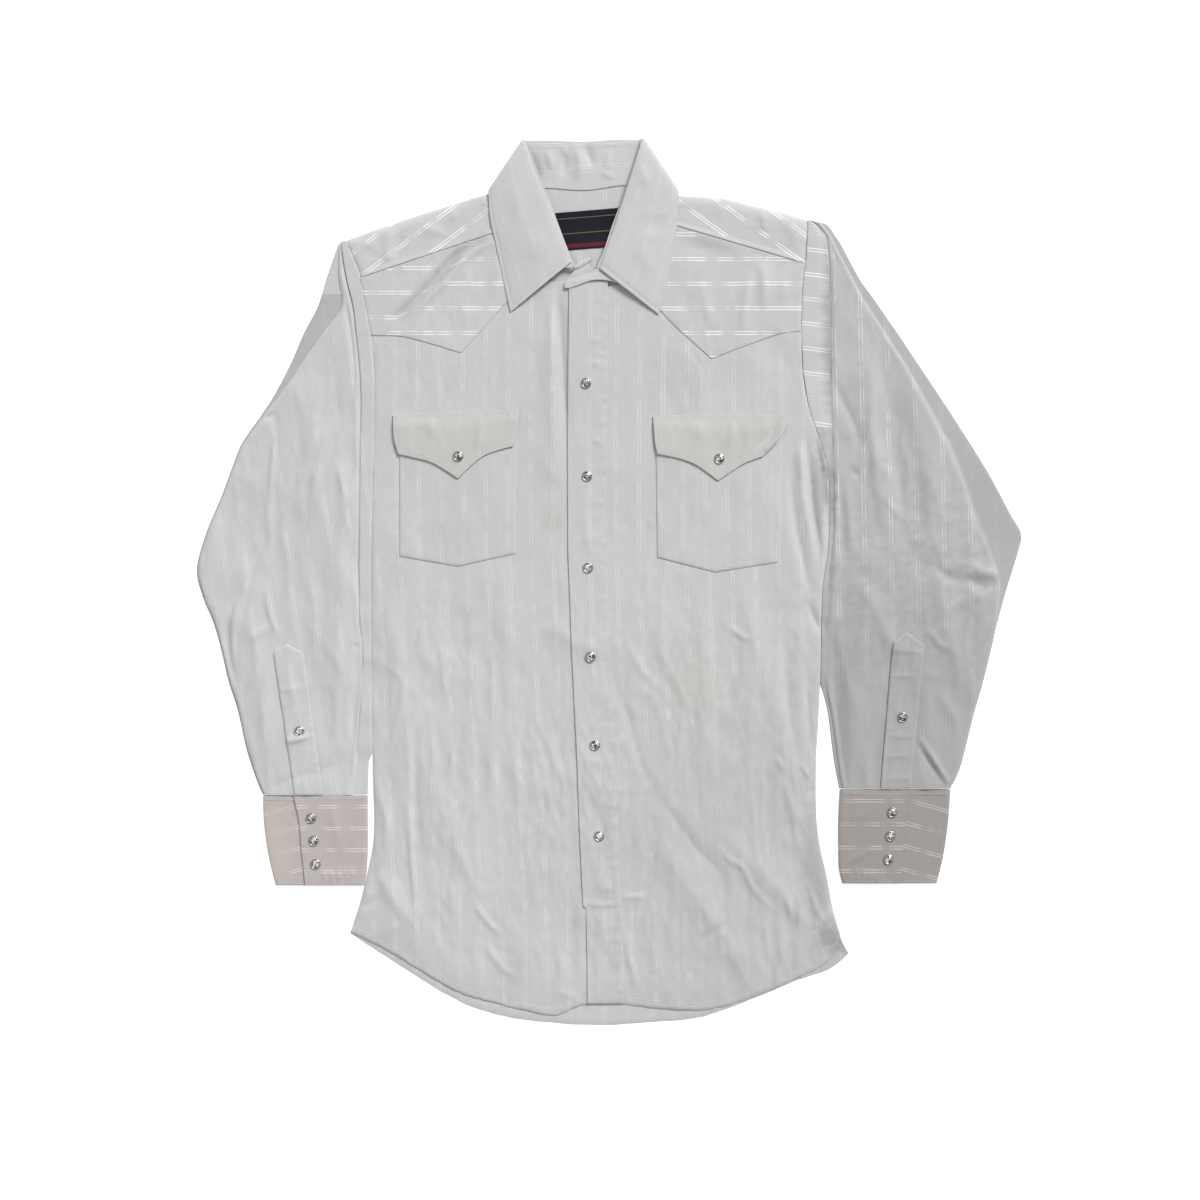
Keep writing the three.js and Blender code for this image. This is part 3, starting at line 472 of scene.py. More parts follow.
# Inner yoke and label.
# The lining of the yoke, seen through the neck. A label of navy satin, woven with a gold frame and a
# red foot, is sewn to it by its two ends.
INNER_YOKE = LYING + 1.05
INNER_LEFT = -82
INNER_TOP_EDGE = 397
INNER_WIDE = 114
INNER_HIGH = 103


def inner_place(u, v):
    x, y = INNER_LEFT + INNER_WIDE * u, INNER_TOP_EDGE - INNER_HIGH * v
    soft = rumple(x, y, 18, 30, 0.3, 11.0)
    return x, y, INNER_YOKE + neck_lift(x, y) + soft * (1 - eased((y - 350) / 20))


def inner_grain(u, v, x, y):
    return (x + FROM_LEFT - 580) * STRIPES / 25 + STRIPES * 50.5, y + FAR


inner_yoke = cloth("inner_yoke_cloth", 60, 50, inner_place, inner_grain, body_cloth)
wear(inner_yoke, ["inner_yoke"])

LABEL_WIDE = 80
LABEL_HIGH = 38
LABEL_TURN = 0.08  # radians
LABEL_MIDDLE = (-24, 352)

navy_satin = new_material("navy woven satin")
tree = navy_satin.node_tree
grain = add_node(tree, "UVMap", {"uv_map": "grain"}).outputs[0]
sides = add_node(tree, "SeparateXYZ", Vector=grain)


def label_maths(operation, a, b=0.0):
    return add_node(navy_satin.node_tree, "Math", {"operation": operation}, i0=a, i1=b).outputs[0]


def label_band(value, low, high):
    """One between two places on the label, in mm, and nothing outside them."""
    above = label_maths("GREATER_THAN", value, low * MM)
    return label_maths("MULTIPLY", above, label_maths("LESS_THAN", value, high * MM))


over, down = sides.outputs[0], sides.outputs[1]
framed = label_maths("MULTIPLY", label_band(over, 8, 72), label_band(down, 6, 22))
bare = label_maths("MULTIPLY", label_band(over, 8.9, 71.1), label_band(down, 6.9, 21.1))
gold_line = label_maths("SUBTRACT", framed, bare)
ribs = label_maths("SINE", label_maths("MULTIPLY", down, 2 * math.pi / (0.8 * MM)))
foot = label_maths("MULTIPLY", label_band(down, 32, 36), label_band(over, 8, 72))
threads = add_node(tree, "TexNoise", Vector=grain, Scale=900.0, Detail=2.0)
navy = add_node(tree, "Mix", {"data_type": "RGBA"}, Factor=threads.outputs[0], i6=linear("0A0C18"),
                i7=linear("1A1C2C"))
with_foot = add_node(tree, "Mix", {"data_type": "RGBA"}, Factor=label_maths("MULTIPLY", foot, 0.75),
                     i6=navy.outputs[2], i7=linear("6E1F2C"))
with_gold = add_node(tree, "Mix", {"data_type": "RGBA"}, Factor=label_maths("MULTIPLY", gold_line, 0.55),
                     i6=with_foot.outputs[2], i7=linear("8F7A4A"))
bump = add_node(tree, "Bump", Strength=0.4, Distance=0.06 * MM, Height=ribs)
# A satin weave: long floats of thread that shine softly, in ribs drawn 0.8 mm apart.
surface = add_node(tree, "BsdfPrincipled", Base_Color=with_gold.outputs[2], Roughness=0.6,
                   Normal=bump.outputs[0])
surface.inputs["Specular IOR Level"].default_value = 0.2
add_node(tree, "OutputMaterial", Surface=surface.outputs[0])


def label_place(u, v):
    over, down = (u - 0.5) * LABEL_WIDE, (0.5 - v) * LABEL_HIGH
    x = LABEL_MIDDLE[0] + over * math.cos(LABEL_TURN) - down * math.sin(LABEL_TURN)
    y = LABEL_MIDDLE[1] + over * math.sin(LABEL_TURN) + down * math.cos(LABEL_TURN)
    curl = 0.7 * eased((over - 20) / 20) * eased((down + 4) / 20) + 0.2 * ripple(over / 14, down / 14, 3.0)
    return x, y, INNER_YOKE + neck_lift(x, y) + 0.75 + curl


label = cloth("label_weave", 40, 20, label_place, lambda u, v, x, y: (u * LABEL_WIDE, v * LABEL_HIGH),
              navy_satin, shell=0.45)
wear(label, ["label"])

# Fronts.
# Two cuts of the same shirting, with stripes down them. They lie on the back, round over to it at the
# armhole, side and hem, and carry the soft folds and sharp creases of a shirt that was worn and washed.
FRONT_HEM = [(-259, -352), (-221, -371), (-195, -387), (-172, -401), (-145, -414.5), (-118, -422),
             (-84, -430.5), (-55, -435.5), (-26, -425), (9, -424), (58, -429), (92, -430), (119, -425),
             (142, -417), (186, -399), (220, -380), (232, -358)]
BAND = table("y free sewn", (301, -40.5, -1.5), (240, -41, -2), (157, -42, -2.7), (31, -41.5, -3),
             (-75, -37.5, 1.5), (-177, -32.5, 5), (-250, -30, 8.6), (-322, -26.5, 12),
             (-372, -25.5, 13.5), (-423, -25, 14.5))
FRONT_CREASES = [
    # across the yoke on the wearer's right
    (3.5, -3.2, (492, 234), (468, 245), (452, 259), (441, 274), (424, 290), (405, 309), (390, 320)),
    (4, 2.6, (499, 240), (474, 252), (459, 265), (448, 280), (430, 297), (410, 317)),
    # broad and soft
    (9, 2.3, (550, 322), (552, 400), (556, 495)), (4.5, -3.6, (558, 290), (563, 380), (566, 430)),
    (4, 1.8, (550, 296), (554, 380)), (15, 3.2, (647, 821), (700, 905), (759, 981)),
    (14, 2.8, (727, 836), (770, 880), (814, 933)), (14, 2.7, (419, 741), (450, 830), (489, 911)),
    (10, 2.7, (377, 871), (395, 900), (413, 926)), (12, 2.3, (549, 911), (530, 950), (513, 986)),
    (15, 2.3, (759, 641), (785, 740), (805, 831)), (14, 2.3, (394, 641), (405, 720), (413, 811)),
    # wearer's right
    (2.6, 1.4, (425, 620), (417, 647)), (3, 1.0, (380, 662), (402, 680), (387, 762)),
    (3, 1.2, (440, 645), (445, 695)), (2.4, 1.7, (454, 742), (449, 775)),
    (4, -1.7, (415, 720), (416, 800), (421, 852)), (3, 1.2, (431, 707), (434, 775)),
    (2.6, 1.8, (407, 795), (412, 870), (416, 910)), (4, 1.8, (375, 785), (385, 815), (386, 870)),
    (4, -2.2, (381, 880), (375, 900), (360, 910)), (3, 1.4, (399, 922), (387, 935)),
    (3, 1.4, (420, 910), (414, 922), (416, 935)), (2.4, 1.8, (475, 905), (490, 925), (502, 935)),
    (4, 1.4, (450, 880), (454, 925)), (4, 1.7, (485, 945), (505, 970), (517, 977)),
    (4, 1.7, (557, 947), (560, 972), (552, 990)), (4, 1.4, (555, 990), (582, 1002)),
    (4, 1.4, (584, 902), (575, 927)), (8, 1.3, (540, 627), (567, 637), (571, 650)),
    (7, 1.1, (500, 560), (506, 620), (502, 690)), (8, 1.1, (470, 600), (476, 700)),
    (9, 1.1, (395, 600), (388, 650)), (8, -1.1, (520, 700), (528, 800), (540, 860)),
    # beside the wearer's left arm
    (4, -3.2, (807, 440), (811, 490), (822, 560)), (4, 2.0, (799, 440), (803, 490), (815, 565)),
    (4, -2.4, (790, 470), (797, 530), (812, 600)), (3, -2.4, (820, 470), (829, 482)),
    (4, 1.6, (817, 500), (825, 560)), (3, -3.4, (815, 432), (822, 470), (830, 545)),
    (3, -2.2, (829, 540), (831, 640)),
    # wearer's left
    (5, -1.4, (617, 685), (627, 712), (640, 762), (655, 792)),
    (5, -1.4, (655, 792), (675, 820), (697, 850), (727, 880)), (4, 1.4, (627, 642), (642, 670), (662, 692)),
    (2.4, 1.7, (730, 627), (740, 635), (750, 640)),
    (2.6, 1.5, (715, 845), (730, 860), (742, 867), (752, 887), (775, 912)),
    (4, -1.8, (727, 922), (717, 930), (700, 942)), (2.2, 1.4, (622, 897), (647, 897)),
    (4, 1.8, (622, 930), (630, 960), (637, 992)), (3, 1.7, (615, 960), (620, 952), (619, 985)),
    (4, 1.8, (797, 890), (799, 925), (785, 950), (770, 975)), (3, 1.7, (785, 892), (792, 920)),
    (3, 1.7, (807, 880), (815, 905), (827, 927)), (3, 1.4, (765, 922), (769, 962)),
    (5, -1.5, (785, 630), (790, 720), (800, 762)), (4, -1.4, (807, 660), (810, 730), (815, 755)),
    (5, 1.5, (787, 780), (797, 837), (805, 862)), (4, -2.4, (807, 600), (815, 620), (825, 635)),
    (2.4, 1.7, (800, 762), (810, 780)), (2.4, 1.4, (775, 757), (785, 770)),
    (4, 1.7, (800, 447), (803, 480)), (9, 1.3, (700, 600), (705, 700), (700, 780)),
    (8, 1.1, (660, 600), (664, 660)), (10, 1.3, (745, 660), (752, 760)),
]


RIGHT_BODY = line(RIGHT_ARMHOLE, RIGHT_SIDE)[1][::-1]
LEFT_BODY = line(LEFT_ARMHOLE, LEFT_SIDE)[1][::-1]


def body_sides(y):
    """Where the wearer's right and left side of the body lie at each height on the layout."""
    return [np.interp(y, side[:, 1], side[:, 0]) for side in (RIGHT_BODY, LEFT_BODY)]


def side_distance(x, y):
    """How far a place lies in from the nearer side of the body."""
    right, left = body_sides(y)
    return np.minimum(x - right, left - x)


def hem_distance(x, y):
    hem = line(FRONT_HEM)[1]
    return y - np.interp(x, hem[:, 0], hem[:, 1])


def band_edges(y):
    rows = np.array(BAND[::-1])
    return np.interp(y, rows[:, 0], rows[:, 1]), np.interp(y, rows[:, 0], rows[:, 2])


def beside_sleeve(x, y):
    """One where a sleeve lies against the side of the body, which then stays as high as the sleeve."""
    return eased((y + np.where(x < -20, 184, 114)) / 24)


def front_height(x, y):
    side, hem = side_distance(x, y), hem_distance(x, y)
    free, sewn = band_edges(y)
    under_band = eased((x - free + 4) / 8) * eased((sewn + 4 - x) / 8)
    creases = folded(FRONT_CREASES, x, y) * (1 - 0.55 * under_band)
    low = eased((60 - y) / 250)
    creases += rumple(x, y, 24, 62, 0.4 + 0.5 * low, 21.0) + rumple(x, y, 64, 120, 1.0, 22.0)
    creases += rumple(x, y, 11, 26, 0.18 + 0.25 * low, 23.0)
    touching = beside_sleeve(x, y)
    side_shape = touching * (0.75 + 0.25 * rounded(side, 2.5)) + (1 - touching) * rounded(side + 0.4, 7)
    shape = side_shape * (0.04 + 0.96 * rounded(hem, 44))
    return FRONT_FOOT + np.maximum(FRONT_LOFT + creases, 0.1) * shape


def front_relief(x, y):
    hem = hem_distance(x, y)
    return 0.8 * hem_relief(hem, x, 9.0) * eased(hem / 1.5)


def down_front(pair, pitch_high, pitch_low):
    """Stripes parallel to the front band, with a pair so far from its free edge. Folds draw them closer
    together lower down."""
    def grain(u, v, x, y):
        free, _ = band_edges(y)
        pitch = pitch_high + (pitch_low - pitch_high) * eased((180 - y) / 250)
        return (x - free - pair) * STRIPES / pitch + ON_PAIR, y + FAR
    return grain


Front = namedtuple("Front", "side top left right bottom grain")
FRONTS = [
    Front("right", [(-240.4, 257), (-208, 257), (-154, 243), (-110, 290), (-60, 300), (-8, 294)],
          [(-240.4, 257), *RIGHT_SIDE[:-1], (-259, -352)],
          [(-8, 294), *[(row.sewn - 6, row.y) for row in BAND[1:-1]], (9, -423)], FRONT_HEM[:10],
          down_front(-15, 22.6, 21.7)),
    Front("left", [(-6, 294), (30, 300), (64, 286), (106, 240), (150, 256), (192, 263)],
          [(-6, 294), *[(row.sewn - 4, row.y) for row in BAND[1:-1]], (11, -424)],
          [(192, 263), *LEFT_SIDE], [(11, -424), *FRONT_HEM[10:]], down_front(48, 23.6, 23.0)),
]
fronts = {}
for front in FRONTS:
    front_edges = [line(points) for points in (front.top, front.bottom, front.left, front.right)]

    def front_place(u, v):
        x, y = within(*front_edges, u, v)
        by_hem = eased((30 - hem_distance(x, y)) / 25)
        z = np.maximum(front_height(x, y) + front_relief(x, y) - 0.32 * by_hem, LYING + 0.45)
        return x, y + 0.9 * ripple(x / 7, x / 50, 4.0) * by_hem, z

    fronts[front.side] = cloth(f"front_{front.side}_cloth", 116, 300, front_place, front.grain, body_cloth)
    wear(fronts[front.side], [f"front_{front.side}"])

# Front yokes.
# Pointed pieces lapped over the top of each front and sewn near their edges, with the stripes across.
# A deep slanted fold crosses the one on the wearer's right.
RIGHT_POINT = (-148.4, 228.4)
LEFT_POINT = (102, 222.6)
YOKE_CREASES = [
    (4, 1.6, (486, 228), (464, 236), (447, 249), (436, 266), (420, 281)), (3, -0.8, (410, 303), (398, 326)),
    (8, 1.5, (470, 262), (460, 300), (468, 330)), (5, 1.1, (500, 262), (494, 300)),
    (7, 2.6, (762, 262), (764, 290), (762, 310)), (6, 2.4, (752, 270), (746, 300), (742, 335)),
    (14, -2.1, (672, 240), (700, 247), (740, 250)), (6, 1.3, (700, 275), (706, 310), (716, 330)),
    (6, 1.1, (785, 270), (783, 300)), (5, -0.9, (690, 290), (684, 315)),
]


def yoke_height(x, y):
    return front_height(x, y) + 0.95 + folded(YOKE_CREASES, x, y) * eased(side_distance(x, y) / 10)


def yoke_grain(shift):
    def grain(u, v, x, y):
        over, down = x + FROM_LEFT, FROM_TOP - y
        before_fold = eased(((down - 232) * 0.72 + (over - 490) * 0.69) / -6 + 0.5)
        return (down - 259 - shift * before_fold) * STRIPES / 24.7 + ON_PAIR, x + FAR
    return grain


FrontYoke = namedtuple("FrontYoke", "side shoulder lower left right shift")
FRONT_YOKES = [
    FrontYoke("right", lowered(RIGHT_SHOULDER_SEAM, 0.2),
              ([(-239, 246), (-208, 245), (-180, 238), RIGHT_POINT], [RIGHT_POINT, (-107, 275), (-66, 322)]),
              [(-249.5, 303.4), (-244.5, 276), (-239, 246)], [(-90, 356.4), (-79, 339), (-66, 322)], 9),
    FrontYoke("left", lowered(LEFT_SHOULDER_SEAM, 0.2),
              ([(18, 320), (52, 270), LEFT_POINT], [LEFT_POINT, (140, 237), (176, 249), (191.6, 250)]),
              [(44, 362.4), (30, 341), (18, 320)],
              [(196.1, 317.4), (193.6, 301), (192.6, 283), (191.6, 250)], 0),
]
SEAM_LEVEL = FRONT_FOOT + 1.0 + FRONT_LOFT + 0.75 - 0.62  # just under the shoulder strips
YOKE_HIGH = 80
yoke_edges = {}
for yoke in FRONT_YOKES:
    edges = [line(yoke.shoulder), line(*yoke.lower), line(yoke.left), line(yoke.right)]
    yoke_edges[yoke.side] = edges

    def front_yoke_place(u, v):
        x, y = within(*edges, u, v)
        sewn = np.exp(-((1 - v) * YOKE_HIGH / 5) ** 2)
        pucker = 0.22 * ripple(x / 6, y / 12, 33.0) * np.exp(-((1 - v) * YOKE_HIGH / 9) ** 2)
        z = yoke_height(x, y) - 0.22 * sewn + pucker * (sewn < 0.7)
        return x, y, z + (SEAM_LEVEL - z) * np.exp(-(v * YOKE_HIGH / 7) ** 2)

    piece = cloth(f"front_yoke_{yoke.side}_cloth", 100, 60, front_yoke_place, yoke_grain(yoke.shift),
                  cross_cloth)
    wear(piece, [f"front_yoke_{yoke.side}"])

# Front band.
# A strip folded in three and lapped over both fronts. Its edge on the wearer's left is sewn down, the
# other one lies free and throws a thin shadow, and the snaps go through it.
BAND_CREASES = [
    (3, 0.9, (590, 300), (580, 320)), (2.5, 0.8, (601, 339), (590, 341)),
    (2.5, 0.8, (601, 362), (591, 364)), (2.5, 0.8, (602, 442), (593, 440)),
    (9, 1.3, (574, 646), (608, 648)), (9, 1.3, (584, 886), (622, 888)),
    (2.4, 0.9, (583, 902), (604, 905), (624, 902)), (5, 0.9, (584, 760), (606, 764)),
    (5, 0.9, (580, 540), (604, 536)),
]


def smooth_rows(rows, place):
    """Columns of a table at places counted in rows, on smooth curves through the rows."""
    points = np.array(rows, float)
    slope = np.gradient(points, axis=0)
    i = np.clip(place.astype(int), 0, len(points) - 2)
    s = (place - i)[:, None]
    return ((1 + 2 * s) * (1 - s) ** 2 * points[i] + s * (1 - s) ** 2 * slope[i]
            + s * s * (3 - 2 * s) * points[i + 1] + s * s * (s - 1) * slope[i + 1]).T


BAND_TOP = 301
BAND_LONG = 724
BAND_WIDE = 38
BAND_TUCK = -325  # where a small tuck steps the band down


def band_place(u, v):
    y = BAND_TOP - BAND_LONG * v
    free, sewn = band_edges(y)
    x = free + (sewn - free) * u
    pucker = 0.6 * ripple(x / 22, y / 6, 41.0) * np.exp(-((1 - u) * BAND_WIDE / 10) ** 2)
    wave = 0.35 * ripple(x / 60, y / 34, 42.0)
    below_tuck = eased((BAND_TUCK - y) / 2.5)
    x = x + 3 * below_tuck * (1 - u)
    lift = 1.15 - 0.4 * below_tuck + 0.3 * (1 - u) ** 3 - 0.25 * u ** 8 + folded(BAND_CREASES, x, y)
    return x, y, front_height(x, y) + lift + pucker + np.maximum(wave, -0.2)


front_band = cloth("front_band_cloth", 22, 340, band_place, down_front(21.5, STRIPES, STRIPES), body_cloth,
                   shell=0.8)
wear(front_band, ["front_band"])

# Pockets and flaps.
# Each pocket is a patch with a pointed foot, sewn down on three sides. Its flap is interfaced, sewn along
# the top, cut in two hollow curves to a point, and held by a snap. The left flap's free corner curls.
Pocket = namedtuple("Pocket", "side top left right point pair")
POCKETS = [
    Pocket("right", [(-210, 154), (-92.5, 157)], [(-210, 154), (-210, 90), (-209.6, 25)],
           [(-92.5, 157), (-93, 90), (-93.5, 28)], (-152, 15), -15),
    Pocket("left", [(46.4, 151), (173, 151)], [(46.4, 151), (47, 90), (48, 24)],
           [(173, 151), (171, 80), (168, 19)], (105.3, 9.2), 48),
]
pocket_edges = {}
pockets = {}
for pocket in POCKETS:
    edges = [line(pocket.top), line([pocket.left[-1], pocket.point], [pocket.point, pocket.right[-1]]),
             line(pocket.left), line(pocket.right)]
    pocket_edges[pocket.side] = edges

    def pocket_place(u, v):
        x, y = within(*edges, u, v)
        inwards = np.minimum(np.minimum(u, 1 - u) * 120, (1 - v) * 130)
        pucker = 0.18 * ripple(x / 8, y / 8, 51.0) * np.exp(-(inwards / 8) ** 2)
        return x, y, front_height(x, y) + 0.72 + 0.75 * rounded(inwards, 16) + np.maximum(pucker, -0.04)

    pockets[pocket.side] = cloth(f"pocket_{pocket.side}_cloth", 64, 70, pocket_place,
                                 down_front(pocket.pair, 22.3, 22.3), body_cloth)
    wear(pockets[pocket.side], [f"pocket_{pocket.side}"])

# The same poplin fused to a lining: denser, plainer and a little yellowed.
flap_cloth = shirting("cream tinged fused poplin", "C3C2BF", "CECECC", 0.3)
FLAP_CREASES = [
    (4, 0.8, (482, 420), (479, 436), (477, 450)), (3, 0.8, (750, 425), (745, 455)),
    (4, 3.2, (787, 423), (777, 440), (764, 453)), (3, -2.2, (779, 420), (770, 434), (757, 449)),
    (5, 1.3, (430, 418), (432, 440)), (5, 1.3, (700, 420), (697, 440)), (4, 1.5, (735, 422), (728, 450)),
]
Flap = namedtuple("Flap", "side top lower left right")
FLAPS = [
    Flap("right", [(-216.6, 166), (-150, 169.5), (-90.3, 171.2)],
         ([(-211, 127), (-198, 124), (-179, 119), (-166, 112), (-151.6, 102.4)],
          [(-151.6, 102.4), (-138, 115.5), (-125.4, 125.3), (-112, 130.5), (-96, 135)]),
         [(-216.6, 166), (-215.4, 142), (-211, 127)], [(-90.3, 171.2), (-92, 148), (-96, 135)]),
    Flap("left", [(43.4, 165), (110, 167.5), (175.4, 165.5)],
         ([(48, 127), (68.3, 122.8), (84.8, 117), (96.3, 109.4), (108.4, 100.4)],
          [(108.4, 100.4), (124.4, 111.3), (135.9, 118.3), (153, 124.5)]),
         [(43.4, 165), (45.6, 137), (48, 127)], [(175.4, 165.5), (174.5, 152), (164, 136), (153, 124.5)]),
]
flap_edges = {}
for flap in FLAPS:
    edges = [line(flap.top), line(*flap.lower), line(flap.left), line(flap.right)]
    flap_edges[flap.side] = edges

    def flap_place(u, v):
        x, y = within(*edges, u, v)
        off_pocket = front_height(x, y) + 1.35 + 1.35 * eased(v / 0.3) + 0.35 * v
        gathers = 0.8 * ripple(x / 9, y / 40, 62.0) * v * (1 - eased((v - 0.3) / 0.4))
        return x, y, off_pocket + folded(FLAP_CREASES, x, y) + gathers + 0.25 * ripple(x / 26, y / 20, 61.0)

    piece = cloth(f"flap_{flap.side}_cloth", 70, 32, flap_place, down_front(-15, STRIPES, STRIPES),
                  flap_cloth, shell=1.0)
    wear(piece, [f"flap_{flap.side}"])

# Sleeves.
# Each is one cut folded into a flat tube, joined under the arm. The layer below shows as a ledge beside
# the upper one where the folds don't meet, and soft folds and sharp creases run down to the cuff.
RIGHT_SLEEVE = table(
    "y left left_fold right_fold right",
    (341, -267.6, -267.2, -266.4, -265.6), (334, -273, -271, -268, -263.6), (305, -283, -271, -264, -250.6),
    (276, -292, -268, -257, -245.6), (249, -306, -287, -254, -240.1), (219, -319, -308, -251, -237.1),
    (190, -334, -328, -249, -236.7), (168, -348, -345, -249, -236.8), (139, -368, -365, -250, -238),
    (112, -379, -376, -250, -239.5), (85, -389, -386, -250.5, -240), (49, -404, -401, -250.5, -240),
    (13, -413.5, -410, -251, -240), (-14, -408, -405, -250.5, -240.2), (-41, -397, -394, -250, -240.5),
    (-67, -389.5, -386, -247, -241), (-99, -382, -379, -247.5, -241), (-131, -372, -369, -250, -240.5),
    (-167, -364, -361, -253, -241), (-195, -355, -352, -255.5, -241.5), (-213.4, -347.5, -345, -257, -242))
LEFT_SLEEVE = table(
    "y left left_fold right_fold right",
    (361.5, 199, 200, 201.5, 203.5), (357, 199.5, 208, 213, 218), (346, 199, 217, 221.5, 226.5),
    (336, 198.6, 219, 226, 233), (319, 197.4, 221, 235, 242), (301, 195, 221.5, 245, 252),
    (283, 193.9, 222, 254, 265), (247, 193.3, 222, 277, 290), (211, 194.7, 222.5, 300, 314),
    (175, 200.8, 223, 320, 338), (150, 209.6, 223.5, 333, 354), (136, 221, 224, 341, 363),
    (103, 221.7, 225, 354, 383), (67, 222, 225, 366, 402), (48, 221.4, 224.5, 373, 412.5),
    (31, 220, 223, 380, 410), (-5, 215.8, 219, 391, 399), (-41, 214, 217, 386, 389),
    (-69, 213.3, 216, 379, 382.5), (-105, 213.5, 217, 370, 373.5), (-131, 219, 222, 363, 366),
    (-167, 223.5, 227, 354, 357), (-190, 227, 230, 347, 350.5), (-207.4, 230.5, 233, 339, 342))
SLEEVE_CREASES = [
    # wearer's right, upper arm
    (2.5, -2.4, (338, 250), (343, 268), (350, 290), (352, 312)),
    (5, -1.8, (330, 270), (338, 288), (347, 302)),
    (2.2, 2.0, (272, 416), (273, 440), (271, 480), (268, 528)), (2.0, -1.8, (262, 416), (272, 417)),
    (5, 3.0, (335, 257), (350, 295), (355, 325), (362, 400), (362, 545)),
    (3, -2.1, (345, 300), (353, 345), (355, 400)), (4, -1.7, (262, 417), (272, 415), (272, 448)),
    (5, -1.5, (325, 407), (317, 445), (305, 500)), (5, 1.5, (350, 500), (340, 545)),
    (3, 1.4, (337, 465), (347, 502)), (13, 3.0, (318, 371), (310, 611)),
    (13, 2.8, (237, 541), (255, 650), (269, 741)), (11, 2.3, (342, 401), (340, 560), (339, 741)),
    # wearer's right, lower arm
    (5, -2.3, (270, 527), (262, 545), (252, 562), (249, 585), (237, 635)),
    (5, -2.1, (244, 582), (232, 605), (227, 630), (227, 660), (237, 695)),
    (4, 1.8, (238, 600), (233, 630), (234, 670)), (2.6, 1.8, (265, 587), (270, 615), (280, 640)),
    (4, 1.8, (252, 640), (270, 624)), (4, -2.4, (363, 650), (356, 710), (352, 790)),
    (2.4, -1.4, (352, 646), (362, 648)), (6, -1.3, (262, 792), (290, 780), (322, 770), (350, 760)),
    (2.6, 1.7, (287, 742), (310, 736)), (7, 1.5, (335, 680), (338, 760)), (7, 1.3, (262, 690), (268, 760)),
    # wearer's left, upper arm
    (5, -2.1, (835, 385), (850, 415), (862, 447)), (11, 2.1, (848, 395), (850, 440)),
    (2.6, -1.7, (850, 470), (862, 477)), (6, -1.7, (875, 330), (885, 385), (897, 460), (907, 535)),
    (6, -1.5, (867, 435), (870, 485), (880, 535)), (3, 1.4, (882, 495), (902, 520)),
    (13, 3.2, (861, 320), (872, 430), (881, 541)), (14, 2.8, (909, 381), (925, 470), (939, 561)),
    (3, -2.1, (990, 502), (1002, 495)), (3, 1.8, (995, 517), (1005, 550)),
    (6, -1.9, (838, 480), (842, 520), (846, 560)), (6, 1.5, (846, 480), (852, 540)),
    # wearer's left, lower arm
    (4, -4.0, (935, 567), (950, 577), (970, 581), (990, 590)),
    (3.5, -3.4, (990, 590), (997, 582), (1012, 577)), (4.5, 3.4, (970, 566), (988, 573), (1007, 570)),
    (6, 1.5, (940, 610), (965, 602), (997, 592)), (7, 1.9, (855, 575), (872, 605), (887, 637), (887, 670)),
    (6, 1.9, (842, 555), (832, 580), (827, 630)), (4, -2.1, (832, 670), (836, 710), (843, 782)),
    (2.4, 1.7, (922, 635), (930, 632), (940, 645), (954, 650)), (2.6, 1.4, (925, 677), (940, 675)),
    (6, 1.5, (937, 690), (960, 727)), (2.4, 3.0, (919, 737), (950, 785)),
    (2.4, -1.6, (915, 740), (946, 788)), (13, 2.7, (871, 551), (862, 650), (859, 761)),
    (12, 2.3, (939, 571), (950, 640), (961, 691)), (7, 1.3, (925, 700), (935, 770)),
    (6, 1.3, (845, 650), (852, 760)),
]
SLEEVE_LOFT = 2.3
TOUCH = 0.3  # how far a sleeve reaches under the side of the body
FOLD_IN = 1.3  # and how far its upper layer stands back from its fold
SLEEVE_AROUND = 124  # cells round the tube
LEDGE = LYING + 0.75  # the lower layer where it shows
BELOW_CAP = 289  # the lower layer of the wearer's right sleeve shows from here down
AROUND = table("share part", (0, 0), (0.008, 1), (0.1, 2), (0.72, 3), (0.82, 4), (0.83, 5), (1, 6))


def beside_height(x, y):
    """Height of the front just inside the side of the body at a place beside it."""
    right, left = body_sides(y)
    return front_height(np.clip(x, right + 1, left - 1), y)


def sleeve_height(x, y, off_fold):
    creases = folded(SLEEVE_CREASES, x, y)
    creases = creases + rumple(x, y, 20, 52, 0.8, 71.0) + rumple(x, y, 52, 100, 1.5, 72.0)
    loft = np.maximum(SLEEVE_LOFT + creases * eased(off_fold / 7), 0.3)
    return LEDGE + loft * rounded(off_fold + 0.3, 5)


def sleeve_rows(rows, v):
    """Height on the layout and edges of a sleeve. Down to the gap above the cuff it touches the body."""
    y, left, left_fold, right_fold, right = smooth_rows(rows, v * (len(rows) - 1))
    right_body, left_body = body_sides(y)
    if rows is RIGHT_SLEEVE:
        left_fold = left_fold + (left + FOLD_IN - left_fold) * eased((150 - y) / 20)
        beside = right_body - TOUCH + 0.8 * eased((y - 100) / 30)
        right = right + (beside - right) * eased((y + 182) / 12)
        right_fold = np.minimum(right_fold, right - 0.8)
    else:
        right_fold = right_fold + (right - FOLD_IN - right_fold) * eased((-20 - y) / 25)
        beside = left_body + TOUCH
        left = left + (beside - left) * eased((y + 112) / 12)
    return np.array([y, left, left_fold, right_fold, right])


def sleeve_level(rows, y):
    """The folds of a sleeve's upper layer at each height on the layout."""
    level, _, left_fold, right_fold, _ = sleeve_rows(rows, np.linspace(0, 1, 400))[:, ::-1]
    return np.interp(y, level, left_fold), np.interp(y, level, right_fold)


def on_sleeve(rows, x, y):
    left_fold, right_fold = sleeve_level(rows, y)
    return sleeve_height(x, y, np.minimum(x - left_fold, right_fold - x))


